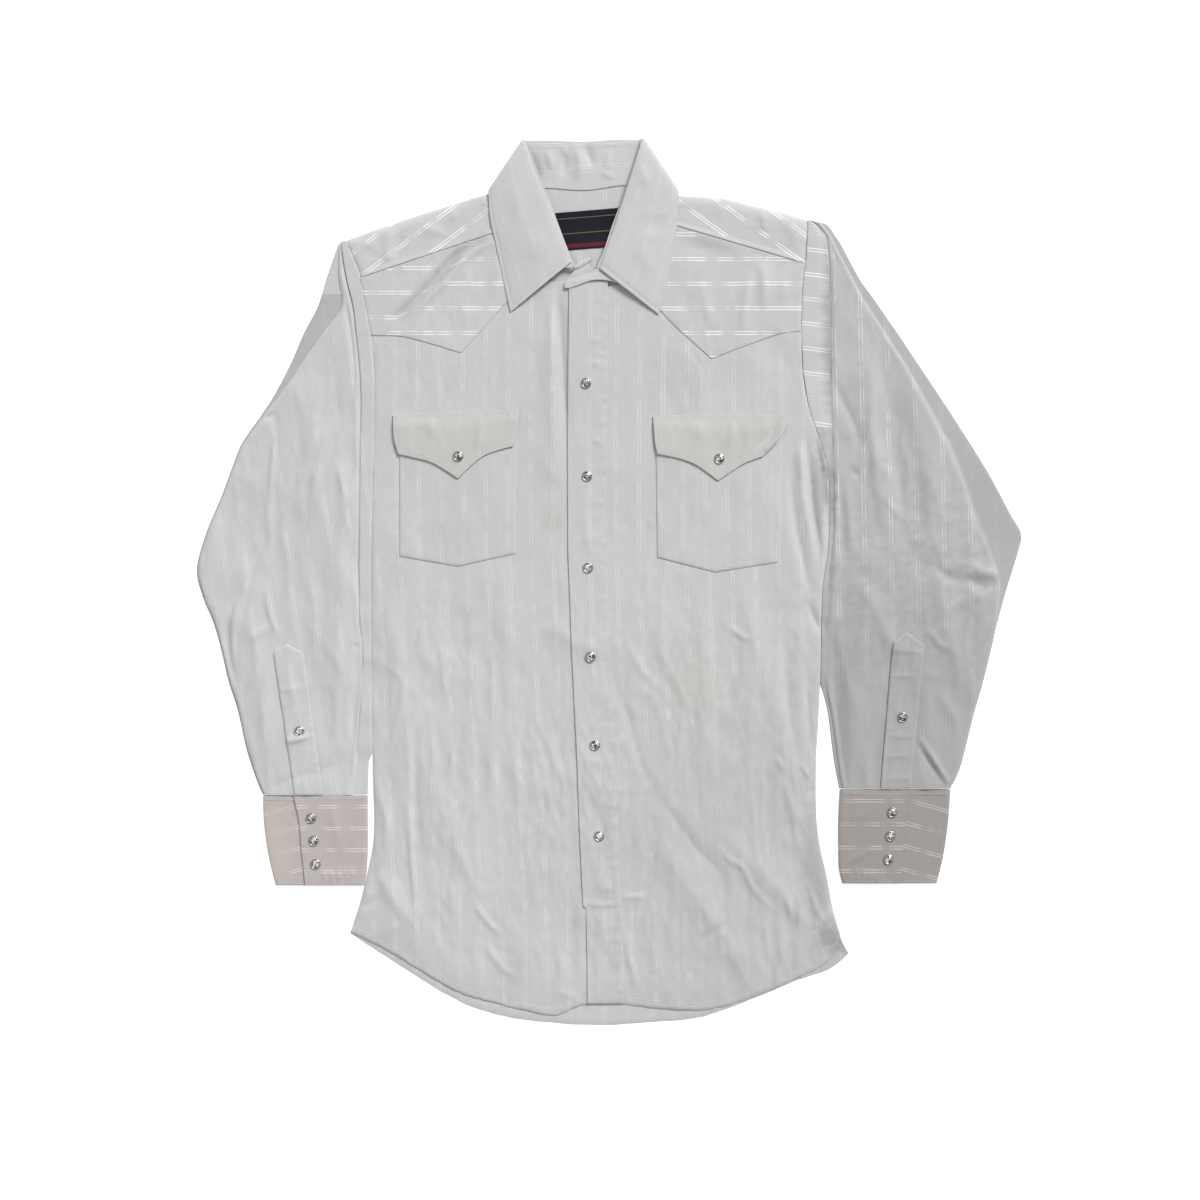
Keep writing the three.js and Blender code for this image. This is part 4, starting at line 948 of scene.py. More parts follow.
def lean(start, level, slope, pitch):
    """Stripes that lean by slope from upright, with a pair through start at a level on the layout."""
    def grain(x, y):
        over, down = x + FROM_LEFT, FROM_TOP - y
        return (over - start - slope * (down - level)) * STRIPES / pitch + ON_PAIR
    return grain


# head is the height on the layout above which the sleeve's front edge has its stripes across.
Sleeve = namedtuple("Sleeve", "side rows grain head seed material")
# The lower layer of each sleeve is painted darker, as shade from the upper one. The left sleeve is painted
# darker too, as shade where the light falls off, most towards the cuff, with painted shade on its upper
# arm and along the fold at its armpit.
below_cloth = shirting("white striped poplin of the layer below", "B1B1B4", "BFBFC1", 0.6)
dim_cloth = shirting("white striped poplin of the left sleeve", "BABABB", "D6D6D6",
                     stains_and_painted_shade=[(900, 760, 330, 1, 0.75, "A3A3A2"), (930, 400, 60, 3, 0.35, "ACACAD"),
                             (833, 490, 6, 9, 0.36, "66666A")])
dim_below_cloth = shirting("white striped poplin of the left sleeve's lower layer", "B4B4B5", "C4C4C5", 0.6,
                           stains_and_painted_shade=[(1000, 500, 110, 1, 0.4, "A4A4A4")])
# At the sleeve head the stripes run across and are painted bright, as a sheen, and painted shade darkens
# the fold beside them.
head_cloth = shirting("white striped poplin of the sleeve head", "C6C6C7", "F4F4F4",
                      stains_and_painted_shade=[(836, 330, 19, 8, 0.6, "8E8E91")])
SLEEVES = [
    Sleeve("right", RIGHT_SLEEVE, lean(342, 465, 0.12, 21.6), None, 73.0, body_cloth),
    Sleeve("left", LEFT_SLEEVE, lean(917, 500, 0.02, 26.5), 150, 74.0, dim_cloth),
]
sleeves = {}
for sleeve in SLEEVES:

    def sleeve_place(u, v):
        y, left, left_fold, right_fold, right = sleeve_rows(sleeve.rows, v)
        inner, outer = np.minimum(0.4, right - left) + left, right - 0.4
        stations = [left, inner, left_fold - 0.2, right_fold + 0.2, outer, outer, left]
        shares = [row.share for row in AROUND]
        part = np.interp(u, shares, range(len(shares)))
        k = np.clip(part.astype(int), 0, len(shares) - 2)
        stack = np.array(stations)
        here = np.arange(len(u))
        t = part - k
        x = stack[k, here] + (stack[k + 1, here] - stack[k, here]) * t
        upper = sleeve_height(x, y, np.minimum(x - left_fold, right_fold - x))
        on_right = sleeve.side == "right"
        beside = beside_height(x, y) + (0.2 + 0.5 * eased((y - 244) / 6)) * on_right
        by_body = LEDGE + (beside - LEDGE) * beside_sleeve(x, y) * eased((366 - y) / 6)
        if not on_right:
            armpit = eased((y + 20) / 30) * eased((156 - y) / 12)
            by_body = by_body - 0.4 - 1.2 * armpit
            head_share = np.clip((x - left) / (left_fold - left), 0, 1)
            by_body = by_body - 1.5 * eased((y - 120) / 50) * eased((head_share - 0.4) / 0.6)
        by_body = np.maximum(by_body, LEDGE)
        soft = np.maximum(0.25 * ripple(x / 14, y / 22, sleeve.seed), 0)
        left_ledge, right_ledge = (LEDGE, by_body) if on_right else (by_body, LEDGE)
        middle = (LEDGE + LYING) / 2
        z = np.select([k == 0, k == 1, k == 2, k == 3, k == 4],
                      [middle + (left_ledge - middle) * t, left_ledge + soft * t, upper,
                       right_ledge + soft * (1 - t), right_ledge + (LYING - right_ledge) * t], LYING)
        z = np.where(part > 5.97, LYING + (middle - LYING) * (part - 5.97) / 0.03, z)
        x = np.where(k == 4, right - 0.4 * np.abs(2 * t - 1), x)
        return x, y, z

    def sleeve_threads(u, v, x, y):
        threads = sleeve.grain(x, y)
        if sleeve.head:
            across = (FROM_TOP - y - 248 - 0.12 * (x - 190)) * STRIPES / 24.8 + ON_PAIR
            threads = np.where((u < 0.101) & (y > sleeve.head), across, threads)
        return threads, y + FAR

    sleeves[sleeve.side] = cloth(f"sleeve_{sleeve.side}_cloth", SLEEVE_AROUND, 248, sleeve_place,
                                 sleeve_threads, sleeve.material, closed=True)
    wear(sleeves[sleeve.side], [f"sleeve_{sleeve.side}"])
    mesh = sleeves[sleeve.side].data
    mesh.materials.append(dim_below_cloth if sleeve.head else below_cloth)
    mesh.materials.append(head_cloth)
    # The lower layer takes the copy painted darker as shade, and the left sleeve's head the copy with painted
    # sheen on its stripes and painted shade by its fold.
    for face in mesh.polygons:
        share = face.index % SLEEVE_AROUND / SLEEVE_AROUND
        outer_ledge = share < 0.1 if sleeve.side == "right" else 0.715 < share < 0.82
        head = sleeve.head and share < 0.1 and face.center.y > sleeve.head * MM
        below = outer_ledge and (sleeve.side == "left" or face.center.y < BELOW_CAP * MM)
        face.material_index = 2 if head else int(below)

# Sleeve plackets.
# A pointed strip on each sleeve that binds its slit above the cuff, sewn round and closed by one snap.
PLACKET_CREASES = [
    (2.4, 0.8, (888, 650), (920, 652)), (2.4, 0.8, (886, 677), (918, 675)),
    (2.6, 0.8, (884, 735), (916, 737)), (2.4, 0.8, (882, 757), (914, 755)),
    (2.6, 0.7, (880, 779), (912, 778)), (2.6, 0.9, (284, 742), (310, 736)),
    (3, 0.7, (280, 690), (304, 688)),
]
Placket = namedtuple("Placket", "side rows point left right foot grain material")
PLACKETS = [
    Placket("right", RIGHT_SLEEVE, (-323.3, -62.3), (-336, -71.5), (-306, -72), (-315, -286.5, -213),
            lean(300, 740, 0.13, 22), body_cloth),
    Placket("left", LEFT_SLEEVE, (296.5, -49.7), (283.5, -61), (315.6, -64.6), (271, 301.8, -207),
            lean(903, 700, -0.09, 24), dim_cloth),
]
placket_edges = {}
for placket in PLACKETS:
    left_foot, right_foot, foot_y = placket.foot
    edges = [line([placket.left, placket.point], [placket.point, placket.right]),
             line([(left_foot, foot_y), (right_foot, foot_y)]), line([placket.left, (left_foot, foot_y)]),
             line([placket.right, (right_foot, foot_y)])]
    placket_edges[placket.side] = edges

    def placket_place(u, v):
        x, y = within(*edges, u, v)
        inwards = np.minimum(np.minimum(u, 1 - u) * 30, v * 140)
        pucker = 0.5 * ripple(x / 16, y / 6, 81.0) * np.exp(-(np.minimum(u, 1 - u) * 30 / 9) ** 2)
        lift = 1.05 + 0.6 * rounded(inwards, 4) + np.maximum(pucker, -0.05) + folded(PLACKET_CREASES, x, y)
        return x, y, on_sleeve(placket.rows, x, y) + lift

    piece = cloth(f"sleeve_placket_{placket.side}_cloth", 22, 90, placket_place,
                  lambda u, v, x, y: (placket.grain(x, y), y + FAR), placket.material)
    wear(piece, [f"sleeve_placket_{placket.side}"])

# Cuffs.
# Interfaced bands with the stripes round the wrist. The upper end laps over the lower one and is closed
# by three snaps, so the end below it shows beside the lap.
# Fused poplin that has taken a rose tinge in the wash. The left cuff's copy is painted darker, as shade
# where the light falls off.
cuff_cloth = shirting("rose tinged fused poplin", "B7B0AE", "DAD5D2",
                      stains_and_painted_shade=[(272, 845, 34, 2, 0.7, "C0B9B0")])
dim_cuff_cloth = shirting("rose tinged fused poplin of the left cuff", "9E9894", "C6C0BC")
LAP = 24
CUFF_THICK = 1.0
CUFF_HIGH = 90
CUFF_CREASES = [
    (3, 0.8, (322, 868), (326, 884)), (3, 0.8, (329, 866), (333, 883)), (3, 0.8, (336, 867), (340, 882)),
    (3, 0.8, (343, 866), (347, 881)), (3, 0.7, (350, 866), (354, 880)), (5, 1.1, (330, 800), (340, 850)),
    (3, 0.8, (848, 868), (851, 880)), (3, 0.8, (855, 867), (858, 880)), (3, 0.8, (862, 867), (866, 881)),
    (3, 0.7, (869, 868), (872, 880)), (4, 1.2, (850, 820), (872, 812)), (4, 1.2, (843, 865), (875, 848)),
    (5, 1.1, (925, 800), (920, 850)), (5, 0.9, (290, 800), (286, 860)),
]
Cuff = namedtuple("Cuff", "side rows top_end_right first pitch material")
CUFFS = [
    Cuff("right", table("y left right lap", (-214.4, -347.5, -241.8, -316.4), (-241, -346.6, -241.8, -310.6),
                        (-269, -343, -241.8, -308.3), (-290, -338.5, -243, -306),
                        (-304.5, -334.6, -245.2, -304.6)),
         True, 807, 21.7, cuff_cloth),
    Cuff("left", table("y left right lap", (-208.4, 230.5, 342, 300.7), (-239, 229, 340, 296.6),
                       (-269, 229, 336, 293.8), (-288, 229.6, 332, 292.2), (-302.5, 233, 328.2, 291.5)),
         False, 801, 23.5, dim_cuff_cloth),
]
cuff_under = CUFF_THICK / 2 + 0.05
cuff_inside = cuff_under + CUFF_THICK + 0.12
cuff_over = cuff_inside + CUFF_THICK + 0.25


def cuff_rows(rows, v):
    return smooth_rows(rows, v * (len(rows) - 1))


def cuff_top(x, y):
    return cuff_over + 0.25 * ripple(x / 24, y / 30, 91.0) + folded(CUFF_CREASES, x, y)


for cuff in CUFFS:

    def cuff_place(u, v):
        y, left, right, lap = cuff_rows(cuff.rows, v)
        near, far = (left, right) if cuff.top_end_right else (right, left)
        inwards = 1 if cuff.top_end_right else -1
        end = lap + inwards * LAP
        turn = 0.7 * inwards
        stations = [end, near + 3 * inwards, near + turn, near + turn, near + 3 * inwards, far - 3 * inwards,
                    far - turn, far - turn, far - 3 * inwards, end + 4 * inwards, lap]
        levels = [cuff_inside, cuff_inside, cuff_inside - 0.3, cuff_under + 0.3, cuff_under, cuff_under,
                  cuff_under + 0.35, cuff_over - 1.2, cuff_over - 0.4, cuff_over, cuff_over + 0.1]
        shares = [0, 0.22, 0.235, 0.25, 0.265, 0.56, 0.575, 0.6, 0.63, 0.83, 1]
        stack = np.array([np.broadcast_to(station, y.shape) for station in stations])
        part = np.interp(u, shares, range(len(shares)))
        k = np.clip(part.astype(int), 0, len(shares) - 2)
        here = np.arange(len(u))
        x = stack[k, here] + (stack[k + 1, here] - stack[k, here]) * (part - k)
        z = np.interp(part, range(len(levels)), levels)
        on_top = eased((u - 0.62) / 0.05)
        near_edge = np.exp(-(((v - 0.95) * CUFF_HIGH) / 7) ** 2)
        gathers = np.clip(ripple(x / 3.4, y / 16, 93.0) + 0.2, -0.6, 1) * near_edge
        soft = cuff_top(x, y) - cuff_over + 0.55 * gathers + 0.2 * ripple(x / 9, y / 5, 94.0)
        edge_drop = 0.25 * np.exp(-(np.minimum(v, 1 - v) * CUFF_HIGH / 2.5) ** 2)
        free_lift = 0.3 * eased((u - 0.9) / 0.1)
        beside = eased((0.235 - u) / 0.02) * 0.3 * np.maximum(ripple(x / 16, y / 22, 92.0), 0)
        return x, y, z + on_top * (soft + free_lift - edge_drop) + beside

    def cuff_threads(u, v, x, y):
        down = FROM_TOP - y
        under = u < 0.25
        slant = np.where(under, (x - cuff.rows[0].lap) * -0.28, 0) * (1 if cuff.top_end_right else -1)
        return (down - cuff.first - slant) * STRIPES / cuff.pitch + ON_PAIR, x + FAR

    piece = cloth(f"cuff_{cuff.side}_cloth", 116, 40, cuff_place, cuff_threads, cuff.material,
                  shell=CUFF_THICK)
    wear(piece, [f"cuff_{cuff.side}"])

# Collar.
# An interfaced band with long points and the stripes along it. It folds over its stand, lies down on both
# fronts, and passes flat under the back of the neck.
COLLAR = table(
    "fold_x fold_y fold_z edge_x edge_y edge_z",
    (-38, 319, 8.6, -99, 269, 5.2), (-50, 351, 9.8, -106, 301, 5.8), (-62, 381, 10.4, -113, 334, 6.3),
    (-74, 408, 10.4, -119, 362, 6.7), (-82, 433, 9.8, -120.5, 380, 6.9), (-85, 439.5, 8.8, -121, 387, 6.7),
    (-86, 442, 7, -121, 390.5, 5.4), (-86.5, 442.5, 4, -121, 391.5, 3.2), (-85, 442, 1.4, -119, 390, 0.9),
    (-80, 442, 0.6, -110, 384, 0.6), (-60, 442, 0.6, -76, 383, 0.6), (-26, 441, 0.6, -26, 382, 0.6),
    (8, 443, 0.6, 22, 383, 0.6), (22, 442.5, 0.6, 54, 384, 0.6), (31, 443, 1.4, 66, 389.5, 0.9),
    (33.5, 444, 4, 69, 391, 3.2), (33.5, 443.5, 7, 69, 390.5, 5.4), (32, 441, 8.8, 69, 387, 6.7),
    (30, 433, 9.8, 69, 378, 6.9), (25.5, 418, 10.4, 67.5, 356, 6.6), (17, 391, 10.4, 63.5, 329, 6.3),
    (5, 354, 9.9, 58.5, 300, 5.8), (-10, 312, 8.8, 49, 267, 5.2))
# Poplin fused to a firm lining: smoother and a little warmer, with fainter stripes.
collar_cloth = shirting("white striped fused poplin", "CAC9C9", "D9DADA", 0.55)
COLLAR_SHARES = (0, 0.03, 0.2, 0.28, 0.36, 0.39, 0.61, 0.64, 0.7, 0.78, 0.97, 1)
COLLAR_ROWS = (0, 0.16, 4, 5, 7.5, 9, 13, 14.5, 17, 18, 21.84, 22)
COLLAR_ROW_APART = 33
LEAF = 70  # width of the turned part, mm
EDGE_STITCH = 3.2


def leaf_share(u):
    """Rows of the cloth closer together towards the outer edge, where the row of stitches sinks in."""
    return 1 - (1 - u) ** 1.6


def collar_at(share, v):
    row = np.interp(v, COLLAR_SHARES, COLLAR_ROWS)
    fold_x, fold_y, fold_z, edge_x, edge_y, edge_z = smooth_rows(COLLAR, row)
    x, y = fold_x + (edge_x - fold_x) * share, fold_y + (edge_y - fold_y) * share
    above = np.clip((edge_z - 4.2) / 1.0, 0, 1)
    crown = 1.5 * np.sin(math.pi * share) * above
    off_end = np.minimum(row, 22 - row) * COLLAR_ROW_APART
    off_edge = np.minimum((1 - share) * LEAF, off_end)
    sewn_in = 0.45 * np.exp(-((off_edge - EDGE_STITCH) / 1.1) ** 2)
    rim = (0.3 * np.exp(-(off_edge / 1.2) ** 2) + sewn_in) * above
    soft = (0.35 * ripple(x / 26, y / 30, 101.0) + folded(COLLAR_CREASES, x, y)) * above
    pucker = 0.22 * ripple(x / 6, y / 6, 102.0) * np.exp(-(off_edge / 6) ** 2) * above
    roll = 1.0 * (1 - rounded(share * LEAF + 0.3, 3)) * above
    return x, y, np.maximum(fold_z + (edge_z - fold_z) * share + crown - rim + soft + pucker - roll, 0.56)


def collar_place(u, v):
    return collar_at(leaf_share(u), v)


COLLAR_CREASES = [
    (12, -1.5, (655, 215), (655, 236)), (5, 1.1, (640, 165), (648, 190)), (6, 1.1, (520, 190), (516, 225)),
    (9, 1.1, (545, 235), (530, 262)), (8, 1.1, (640, 245), (650, 275)),
]


def collar_grain(u, v, x, y):
    pair = np.where(x < -24, 53, 60)
    return leaf_share(u) * LEAF - pair + ON_PAIR, y * 1.1 + FAR


collar = cloth("collar_cloth", 36, 190, collar_place, collar_grain, collar_cloth, shell=1.0)
wear(collar, ["collar"])

# Collar stand.
# The upright band that the collar is sewn to. Its back leans away from the neck seam, a strip shows inside
# each fold, and its rounded end on the wearer's left laps over the band at the throat.
STAND_CREASES = [
    (4, -2.4, (530, 150), (536, 168), (541, 185)), (5, 2.4, (575, 142), (580, 165), (576, 182)),
    (4, -2.4, (585, 142), (592, 166)), (4, 1.8, (548, 150), (552, 170)), (4, -1.8, (566, 150), (563, 176)),
    (4, 1.6, (610, 150), (606, 170)), (3, 1.1, (600, 172), (615, 178)), (3, 1.2, (560, 142), (568, 158)),
]
STAND_SIDES = table("y right_in right_out left_in left_out height", (430, -80, -84, 28, 32, 4.9),
                    (412, -73, -83, 23, 34, 4.8), (384, -61, -80, 13, 33, 5.3), (354, -50, -73, 2, 26, 6.1),
                    (330, -41, -62, -6, 17, 6.8), (313, -34, -54, -13, 10, 6.6))
stand_edges = [line([(-84, 438.5), (-26, 438.5), (29, 440.5)]),
               line([(-82, 391), (-68, 393.4), (-24, 391.4), (19, 396), (34, 391)]),
               line([(-84, 438.5), (-82, 391)]), line([(29, 440.5), (34, 391)])]


def stand_place(u, v):
    x, y = within(*stand_edges, u, v)
    soft = folded(STAND_CREASES, x, y) + 0.35 * ripple(x / 14, y / 16, 111.0)
    seam = INNER_YOKE + neck_lift(x, y) + 0.85
    return x, y, 4.1 + (seam - 4.1) * v ** 2 + soft * np.sin(math.pi * np.clip(v, 0.08, 0.92)) ** 0.5


def stand_grain(u, v, x, y):
    return (FROM_TOP - y - 169 + 0.05 * (x + FROM_LEFT - 545)) + ON_PAIR, x + FAR


stand_back = cloth("collar_stand_back", 84, 34, stand_place, stand_grain, collar_cloth, shell=0.9)
wear(stand_back, ["collar_stand"])

for side, inner, outer in (("right", "right_in", "right_out"), ("left", "left_in", "left_out")):
    rows = [(row.y, getattr(row, inner), getattr(row, outer), row.height) for row in STAND_SIDES]

    def side_place(u, v):
        y, inside, outside, height = smooth_rows(rows, v * (len(rows) - 1))
        x = inside + (outside - inside) * u
        return x, y, height + 0.4 * u + 0.25 * ripple(x / 8, y / 14, 112.0)

    piece = cloth(f"collar_stand_{side}", 12, 60, side_place, lambda u, v, x, y: (x + FAR, y + FAR),
                  collar_cloth, shell=0.9)
    wear(piece, ["collar_stand"])

tab_edges = [line([(-41, 304), (-34.5, 310.7), (-27, 315.5), (-21.5, 317.5)], [(-21.5, 317.5), (-16.5, 311)],
                  [(-16.5, 311), (-9.5, 313), (4, 309), (12, 306)]),
             line([(-45, 293), (-40, 293), (-32, 295.5), (-20, 300), (-6, 301), (12, 297)]),
             line([(-41, 304), (-44.5, 298), (-45, 293)]), line([(12, 306), (12, 297)])]


def tab_place(u, v):
    x, y = within(*tab_edges, u, v)
    fold = 0.5 * np.exp(-((y - 305 - 0.25 * (x + 30)) / 2.5) ** 2)
    return x, y, 6.7 + 0.3 * np.sin(math.pi * u) + 0.25 * ripple(x / 9, y / 9, 113.0) - 0.3 * (1 - u) - fold


tab = cloth("collar_stand_end", 44, 20, tab_place, lambda u, v, x, y: (y + FAR, x + FAR), collar_cloth,
            shell=0.8)
wear(tab, ["collar_stand"])

ROLL_FROM, ROLL_TO, ROLL_WIDE = (-35, 313), (-19, 322), 3.2


def roll_place(u, v):
    (x0, y0), (x1, y1) = ROLL_FROM, ROLL_TO
    length = math.hypot(x1 - x0, y1 - y0)
    across = (2 * v - 1) * ROLL_WIDE * (0.45 + 0.55 * np.sin(math.pi * np.clip(u, 0.05, 0.95)) ** 0.6)
    x = x0 + (x1 - x0) * u - across * (y1 - y0) / length
    y = y0 + (y1 - y0) * u + across * (x1 - x0) / length
    return x, y, 6.2 + 1.9 * np.sqrt(np.clip(1 - (2 * v - 1) ** 2, 0, 1)) + 0.25 * ripple(x / 5, y / 5, 114.0)


roll = cloth("collar_stand_fold", 26, 12, roll_place, lambda u, v, x, y: (x + FAR, y + FAR), collar_cloth,
             shell=0.8)
wear(roll, ["collar_stand"])

# Stitches.
# Lockstitch of white polyester thread, ten stitches to the inch, beside the edges of the front band,
# pockets, front yokes, flaps, sleeve plackets, cuffs and collar, and along the hem. The thread is 0.25 mm
# thick and is drawn 0.45 mm thick, sunk into the cloth, so that it shows.
STITCH = 2.6
STITCH_LONG = 1.05
STITCH_WIDE = 0.26
BAND_STITCH = 5.5  # in from each edge of the front band
POCKET_EDGE = 1.38  # the upper face of each panel above the cloth that it is sewn to
FLAP_TOP = 3.55
PLACKET_TOP = 1.65
YOKE_SIZE = (150, 80)  # and its width and height
POCKET_SIZE = (120, 130)
FLAP_SIZE = (125, 46)
PLACKET_SIZE = (31, 145)

# Spun thread, a little whiter and shinier than the cloth, with a twist every half millimetre.
thread = new_material("white polyester thread")
tree = thread.node_tree
here = add_node(tree, "TexCoord").outputs["Object"]
twist = add_node(tree, "TexNoise", Vector=here, Scale=2200.0, Detail=1.0)
shade = add_node(tree, "Mix", {"data_type": "RGBA"}, Factor=twist.outputs[0], i6=linear("CFD0D0"),
                 i7=linear("E4E5E5"))
surface = add_node(tree, "BsdfPrincipled", Base_Color=shade.outputs[2], Roughness=0.5, Sheen_Weight=0.1)
add_node(tree, "OutputMaterial", Surface=surface.outputs[0])


def inset(edges, top=None, bottom=None, left=None, right=None, size=(1, 1), cut=(0, 1)):
    """A row of places inside a panel's edge, at a distance in from it in mm, for a panel of that size."""
    share = np.linspace(*cut, 80)
    wide, high = size
    if top is not None:
        u, v = share, np.full(80, top / high)
    elif bottom is not None:
        u, v = share, np.full(80, 1 - bottom / high)
    elif left is not None:
        u, v = np.full(80, left / wide), share
    else:
        u, v = np.full(80, 1 - right / wide), share
    return np.stack(within(*edges, u, v), -1)


def sew(name, runs, height=None):
    """Stitches along rows of places, at their own height or at a height worked out from each place."""
    bm = bmesh.new()
    for run in runs:
        run = np.asarray(run, float)
        length = np.append(0, np.cumsum(np.linalg.norm(np.diff(run, axis=0), axis=1)))
        place = np.arange(STITCH / 2, length[-1], STITCH)
        ends = np.concatenate([place - STITCH_LONG, place, place + STITCH_LONG])
        x, y = (np.interp(ends, length, run[:, k]) for k in (0, 1))
        z = height(x, y) if height else np.interp(ends, length, run[:, 2])
        points = np.stack([x, y, z], -1).reshape(3, -1, 3) * MM
        for start, middle, end in zip(*points):
            run_way = Vector(end - start).normalized()
            up = Vector((0, 0, 1))
            side = up.cross(run_way).normalized()
            over = run_way.cross(side)
            axes = Matrix((run_way * STITCH_LONG, side * STITCH_WIDE, over * STITCH_WIDE)).transposed()
            place_there = Matrix.Translation(middle) @ (axes * MM).to_4x4()
            bmesh.ops.create_icosphere(bm, subdivisions=1, radius=1, matrix=place_there)
    made = bpy.data.meshes.new(name)
    bm.to_mesh(made)
    bm.free()
    made.shade_smooth()
    made.materials.append(thread)
    piece = bpy.data.objects.new(name, made)
    bpy.context.scene.collection.objects.link(piece)
    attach(piece, "root")
    return piece


def band_top(x, y):
    free, sewn = band_edges(y)
    u = (x - free) / (sewn - free)
    return band_place(u, (BAND_TOP - y) / BAND_LONG)[2] + 0.42


band_ys = np.linspace(290, -418, 300)
free_xs, sewn_xs = band_edges(band_ys)
sew("band_stitches", [np.stack([free_xs + BAND_STITCH, band_ys], -1),
                      np.stack([sewn_xs - BAND_STITCH, band_ys], -1)], band_top)
for side, edges in pocket_edges.items():
    sides = [inset(edges, left=2, size=POCKET_SIZE, cut=(0.12, 0.98)),
             inset(edges, right=2, size=POCKET_SIZE, cut=(0.12, 0.98)),
             inset(edges, bottom=2, size=POCKET_SIZE, cut=(0.02, 0.98))]
    sew(f"pocket_{side}_stitches", sides, lambda x, y: front_height(x, y) + POCKET_EDGE)
for side, edges in yoke_edges.items():
    sides = [inset(edges, bottom=2, size=YOKE_SIZE), inset(edges, top=2, size=YOKE_SIZE)]
    sew(f"yoke_{side}_stitches", sides, lambda x, y: yoke_height(x, y) + 0.12)
for side, edges in flap_edges.items():
    sides = [inset(edges, bottom=5, size=FLAP_SIZE, cut=(0.06, 0.94)),
             inset(edges, left=5, size=FLAP_SIZE, cut=(0.3, 0.86)),
             inset(edges, right=5, size=FLAP_SIZE, cut=(0.3, 0.86))]
    sew(f"flap_{side}_stitches", sides, lambda x, y: front_height(x, y) + FLAP_TOP
        + folded(FLAP_CREASES, x, y) + 0.25 * ripple(x / 26, y / 20, 61.0))
for placket in PLACKETS:
    edges = placket_edges[placket.side]
    sides = [inset(edges, left=2.5, size=PLACKET_SIZE, cut=(0.03, 0.97)),
             inset(edges, right=2.5, size=PLACKET_SIZE, cut=(0.03, 0.97)),
             inset(edges, top=2.5, size=PLACKET_SIZE, cut=(0.08, 0.92))]
    sew(f"placket_{placket.side}_stitches", sides, lambda x, y: on_sleeve(placket.rows, x, y) + PLACKET_TOP
        + 0.3 + folded(PLACKET_CREASES, x, y))
for cuff in CUFFS:
    runs = []
    for share in (0.035, 0.965):
        y, left, right, lap = cuff_rows(cuff.rows, np.full(2, share))
        runs.append([(left[0] + 4, y[0]), (right[0] - 4, y[0])])
    y, left, right, lap = cuff_rows(cuff.rows, np.linspace(0.04, 0.96, 30))
    runs.append(np.stack([lap + (3 if cuff.top_end_right else -3), y], -1))
    sew(f"cuff_{cuff.side}_stitches", runs, lambda x, y: cuff_top(x, y) + CUFF_THICK / 2 + 0.05)
collar_runs = []
for first, last in ((0.018, 0.36), (0.64, 0.982)):
    v = np.linspace(first, last, 200)
    collar_runs.append(np.stack(collar_at(np.full(200, 1 - EDGE_STITCH / LEAF), v), -1))
for v in (0.018, 0.982):
    share = np.linspace(0.06, 1 - EDGE_STITCH / LEAF, 60)
    collar_runs.append(np.stack(collar_at(share, np.full(60, v)), -1))
collar_runs.append(np.stack(stand_place(np.linspace(0.03, 0.97, 60), np.full(60, 0.1)), -1))
sew("collar_stitches", [run + (0, 0, 0.52) for run in collar_runs])
hem = line(FRONT_HEM)[1]
sew("hem_stitches", [hem + (0, HEM_TURNED)], lambda x, y: front_height(x, y) + front_relief(x, y) + 0.32)

# Snaps.
# Sixteen ring snaps: a rim of nickel-plated brass clenched round a cap of grey pearl, which is domed,
# glossy and clouded.
SNAP_RIM = 5.3
SNAP_BORE = 3.9
SNAP_HIGH = 1.5
CAP_RADIUS = 3.75
CAP_HIGH = 2.1

# Plated and tumbled: a warm grey mirror, dulled in spots about a millimetre wide where it has worn.
nickel = new_material("nickel plated brass")
tree = nickel.node_tree
here = add_node(tree, "TexCoord").outputs["Object"]
wear_spots = add_node(tree, "TexNoise", Vector=here, Scale=900.0, Detail=3.0)
plate = add_node(tree, "Mix", {"data_type": "RGBA"}, Factor=wear_spots.outputs[0], i6=linear("8A8986"),
                 i7=linear("E8E7E4"))
dull = add_node(tree, "MapRange", Value=wear_spots.outputs[0], From_Min=0.3, From_Max=0.7, To_Min=0.22,
                To_Max=0.42)
surface = add_node(tree, "BsdfPrincipled", Base_Color=plate.outputs[2], Metallic=1.0,
                   Roughness=dull.outputs[0])
add_node(tree, "OutputMaterial", Surface=surface.outputs[0])

# Moulded acrylic pearl under a clear coat: light and dark clouds 3 mm wide, with sharp small reflections.
# The light clouds in its colour are partly the pearl's own mottling and partly painted highlights.
pearl = new_material("grey pearl cap")
tree = pearl.node_tree
here = add_node(tree, "TexCoord").outputs["Object"]
cloudy = add_node(tree, "TexNoise", Vector=here, Scale=330.0, Detail=3.0, Distortion=1.2)
layers = add_node(tree, "MapRange", Value=cloudy.outputs[0], From_Min=0.44, From_Max=0.56)
mottle_and_painted_highlights = add_node(tree, "Mix", {"data_type": "RGBA"}, Factor=layers.outputs[0], i6=linear("4C4947"),
                 i7=linear("EEECE8"))
dents = add_node(tree, "Bump", Strength=0.7, Distance=0.3 * MM, Height=cloudy.outputs[0])
surface = add_node(tree, "BsdfPrincipled", Base_Color=mottle_and_painted_highlights.outputs[2], Metallic=0.3, Roughness=0.18,
                   Coat_Weight=1.0, Normal=dents.outputs[0])
surface.inputs["Coat Roughness"].default_value = 0.04
add_node(tree, "OutputMaterial", Surface=surface.outputs[0])


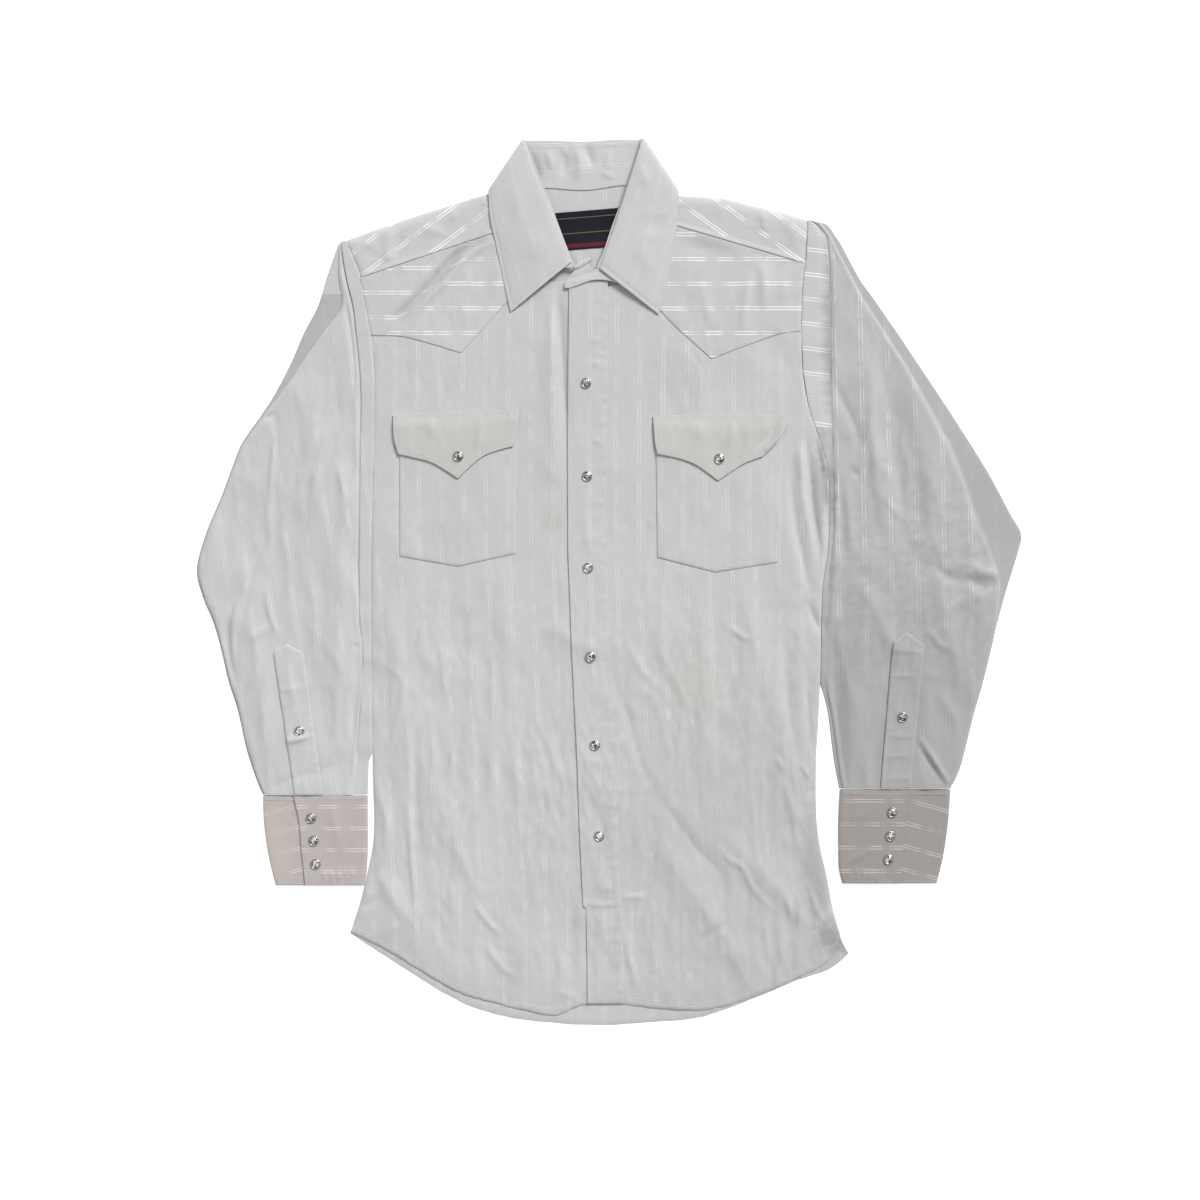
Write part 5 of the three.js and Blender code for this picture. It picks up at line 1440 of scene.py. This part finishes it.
def turned(name, profile, place, material, node):
    """A shape turned about an upright axis: its profile is radius and height in mm."""
    bm = bmesh.new()
    corners = [bm.verts.new((radius, 0, height)) for radius, height in profile]
    rims = [bm.edges.new(pair) for pair in zip(corners, corners[1:])]
    bmesh.ops.spin(bm, geom=corners + rims, axis=(0, 0, 1), cent=(0, 0, 0), steps=26, angle=2 * math.pi,
                   use_merge=True)
    bmesh.ops.remove_doubles(bm, verts=bm.verts, dist=0.01)
    bmesh.ops.recalc_face_normals(bm, faces=bm.faces)
    bmesh.ops.scale(bm, vec=(MM, MM, MM), verts=bm.verts)
    bmesh.ops.translate(bm, vec=Vector(place) * MM, verts=bm.verts)
    made = bpy.data.meshes.new(name)
    bm.to_mesh(made)
    bm.free()
    made.shade_smooth()
    made.materials.append(material)
    piece = bpy.data.objects.new(name, made)
    bpy.context.scene.collection.objects.link(piece)
    wear(piece, [node])
    return piece


def rounded_profile(start, end, count):
    """A quarter round from the first radius and height to the last."""
    return [(end[0] + (start[0] - end[0]) * math.cos(turn), start[1] + (end[1] - start[1]) * math.sin(turn))
            for turn in np.linspace(0, math.pi / 2, count)]


rim_profile = [(SNAP_BORE, 0.1), (SNAP_RIM - 0.2, 0.1)]
rim_profile += rounded_profile((SNAP_RIM, 0.5), (SNAP_RIM - 0.7, SNAP_HIGH), 6)
rim_profile += reversed(rounded_profile((SNAP_BORE, 1.0), (SNAP_BORE + 0.6, SNAP_HIGH), 5))
rim_profile += [(SNAP_BORE, 0.1)]
pearl_profile = [(0, 0.1), (CAP_RADIUS, 0.1), (CAP_RADIUS, 0.9)]
pearl_profile += rounded_profile((CAP_RADIUS, 0.95), (0, CAP_HIGH), 10)[1:-1] + [(0, CAP_HIGH)]
SNAPS = table("name x y", ("front_1", -23.5, 198), ("front_2", -22.5, 105), ("front_3", -21.5, 13.5),
              ("front_4", -19, -75.5), ("front_5", -14.5, -164), ("front_6", -10.5, -255),
              ("flap_right", -151, 124.7), ("flap_left", 109.7, 122.4), ("placket_right", -310, -150),
              ("placket_left", 293, -136), ("cuff_right_1", -298.7, -237.2), ("cuff_right_2", -296.2, -259.7),
              ("cuff_right_3", -294.3, -283.2), ("cuff_left_1", 283, -231.5), ("cuff_left_2", 281, -255),
              ("cuff_left_3", 279.3, -278.6))
for snap in SNAPS:
    x, y = np.array([snap.x]), np.array([snap.y])
    if snap.name.startswith("front"):
        seat = band_top(x, y)[0]
    elif snap.name.startswith("flap"):
        seat = front_height(x, y)[0] + FLAP_TOP
    elif snap.name.startswith("placket"):
        seat = on_sleeve(RIGHT_SLEEVE if x[0] < 0 else LEFT_SLEEVE, x, y)[0] + PLACKET_TOP - 0.05
    else:
        seat = cuff_top(x, y)[0] + CUFF_THICK / 2
    place = (snap.x, snap.y, seat)
    turned(f"rim_{snap.name}", rim_profile, place, nickel, f"snap_rim_{snap.name}")
    turned(f"cap_{snap.name}", pearl_profile, place, pearl, f"snap_pearl_{snap.name}")
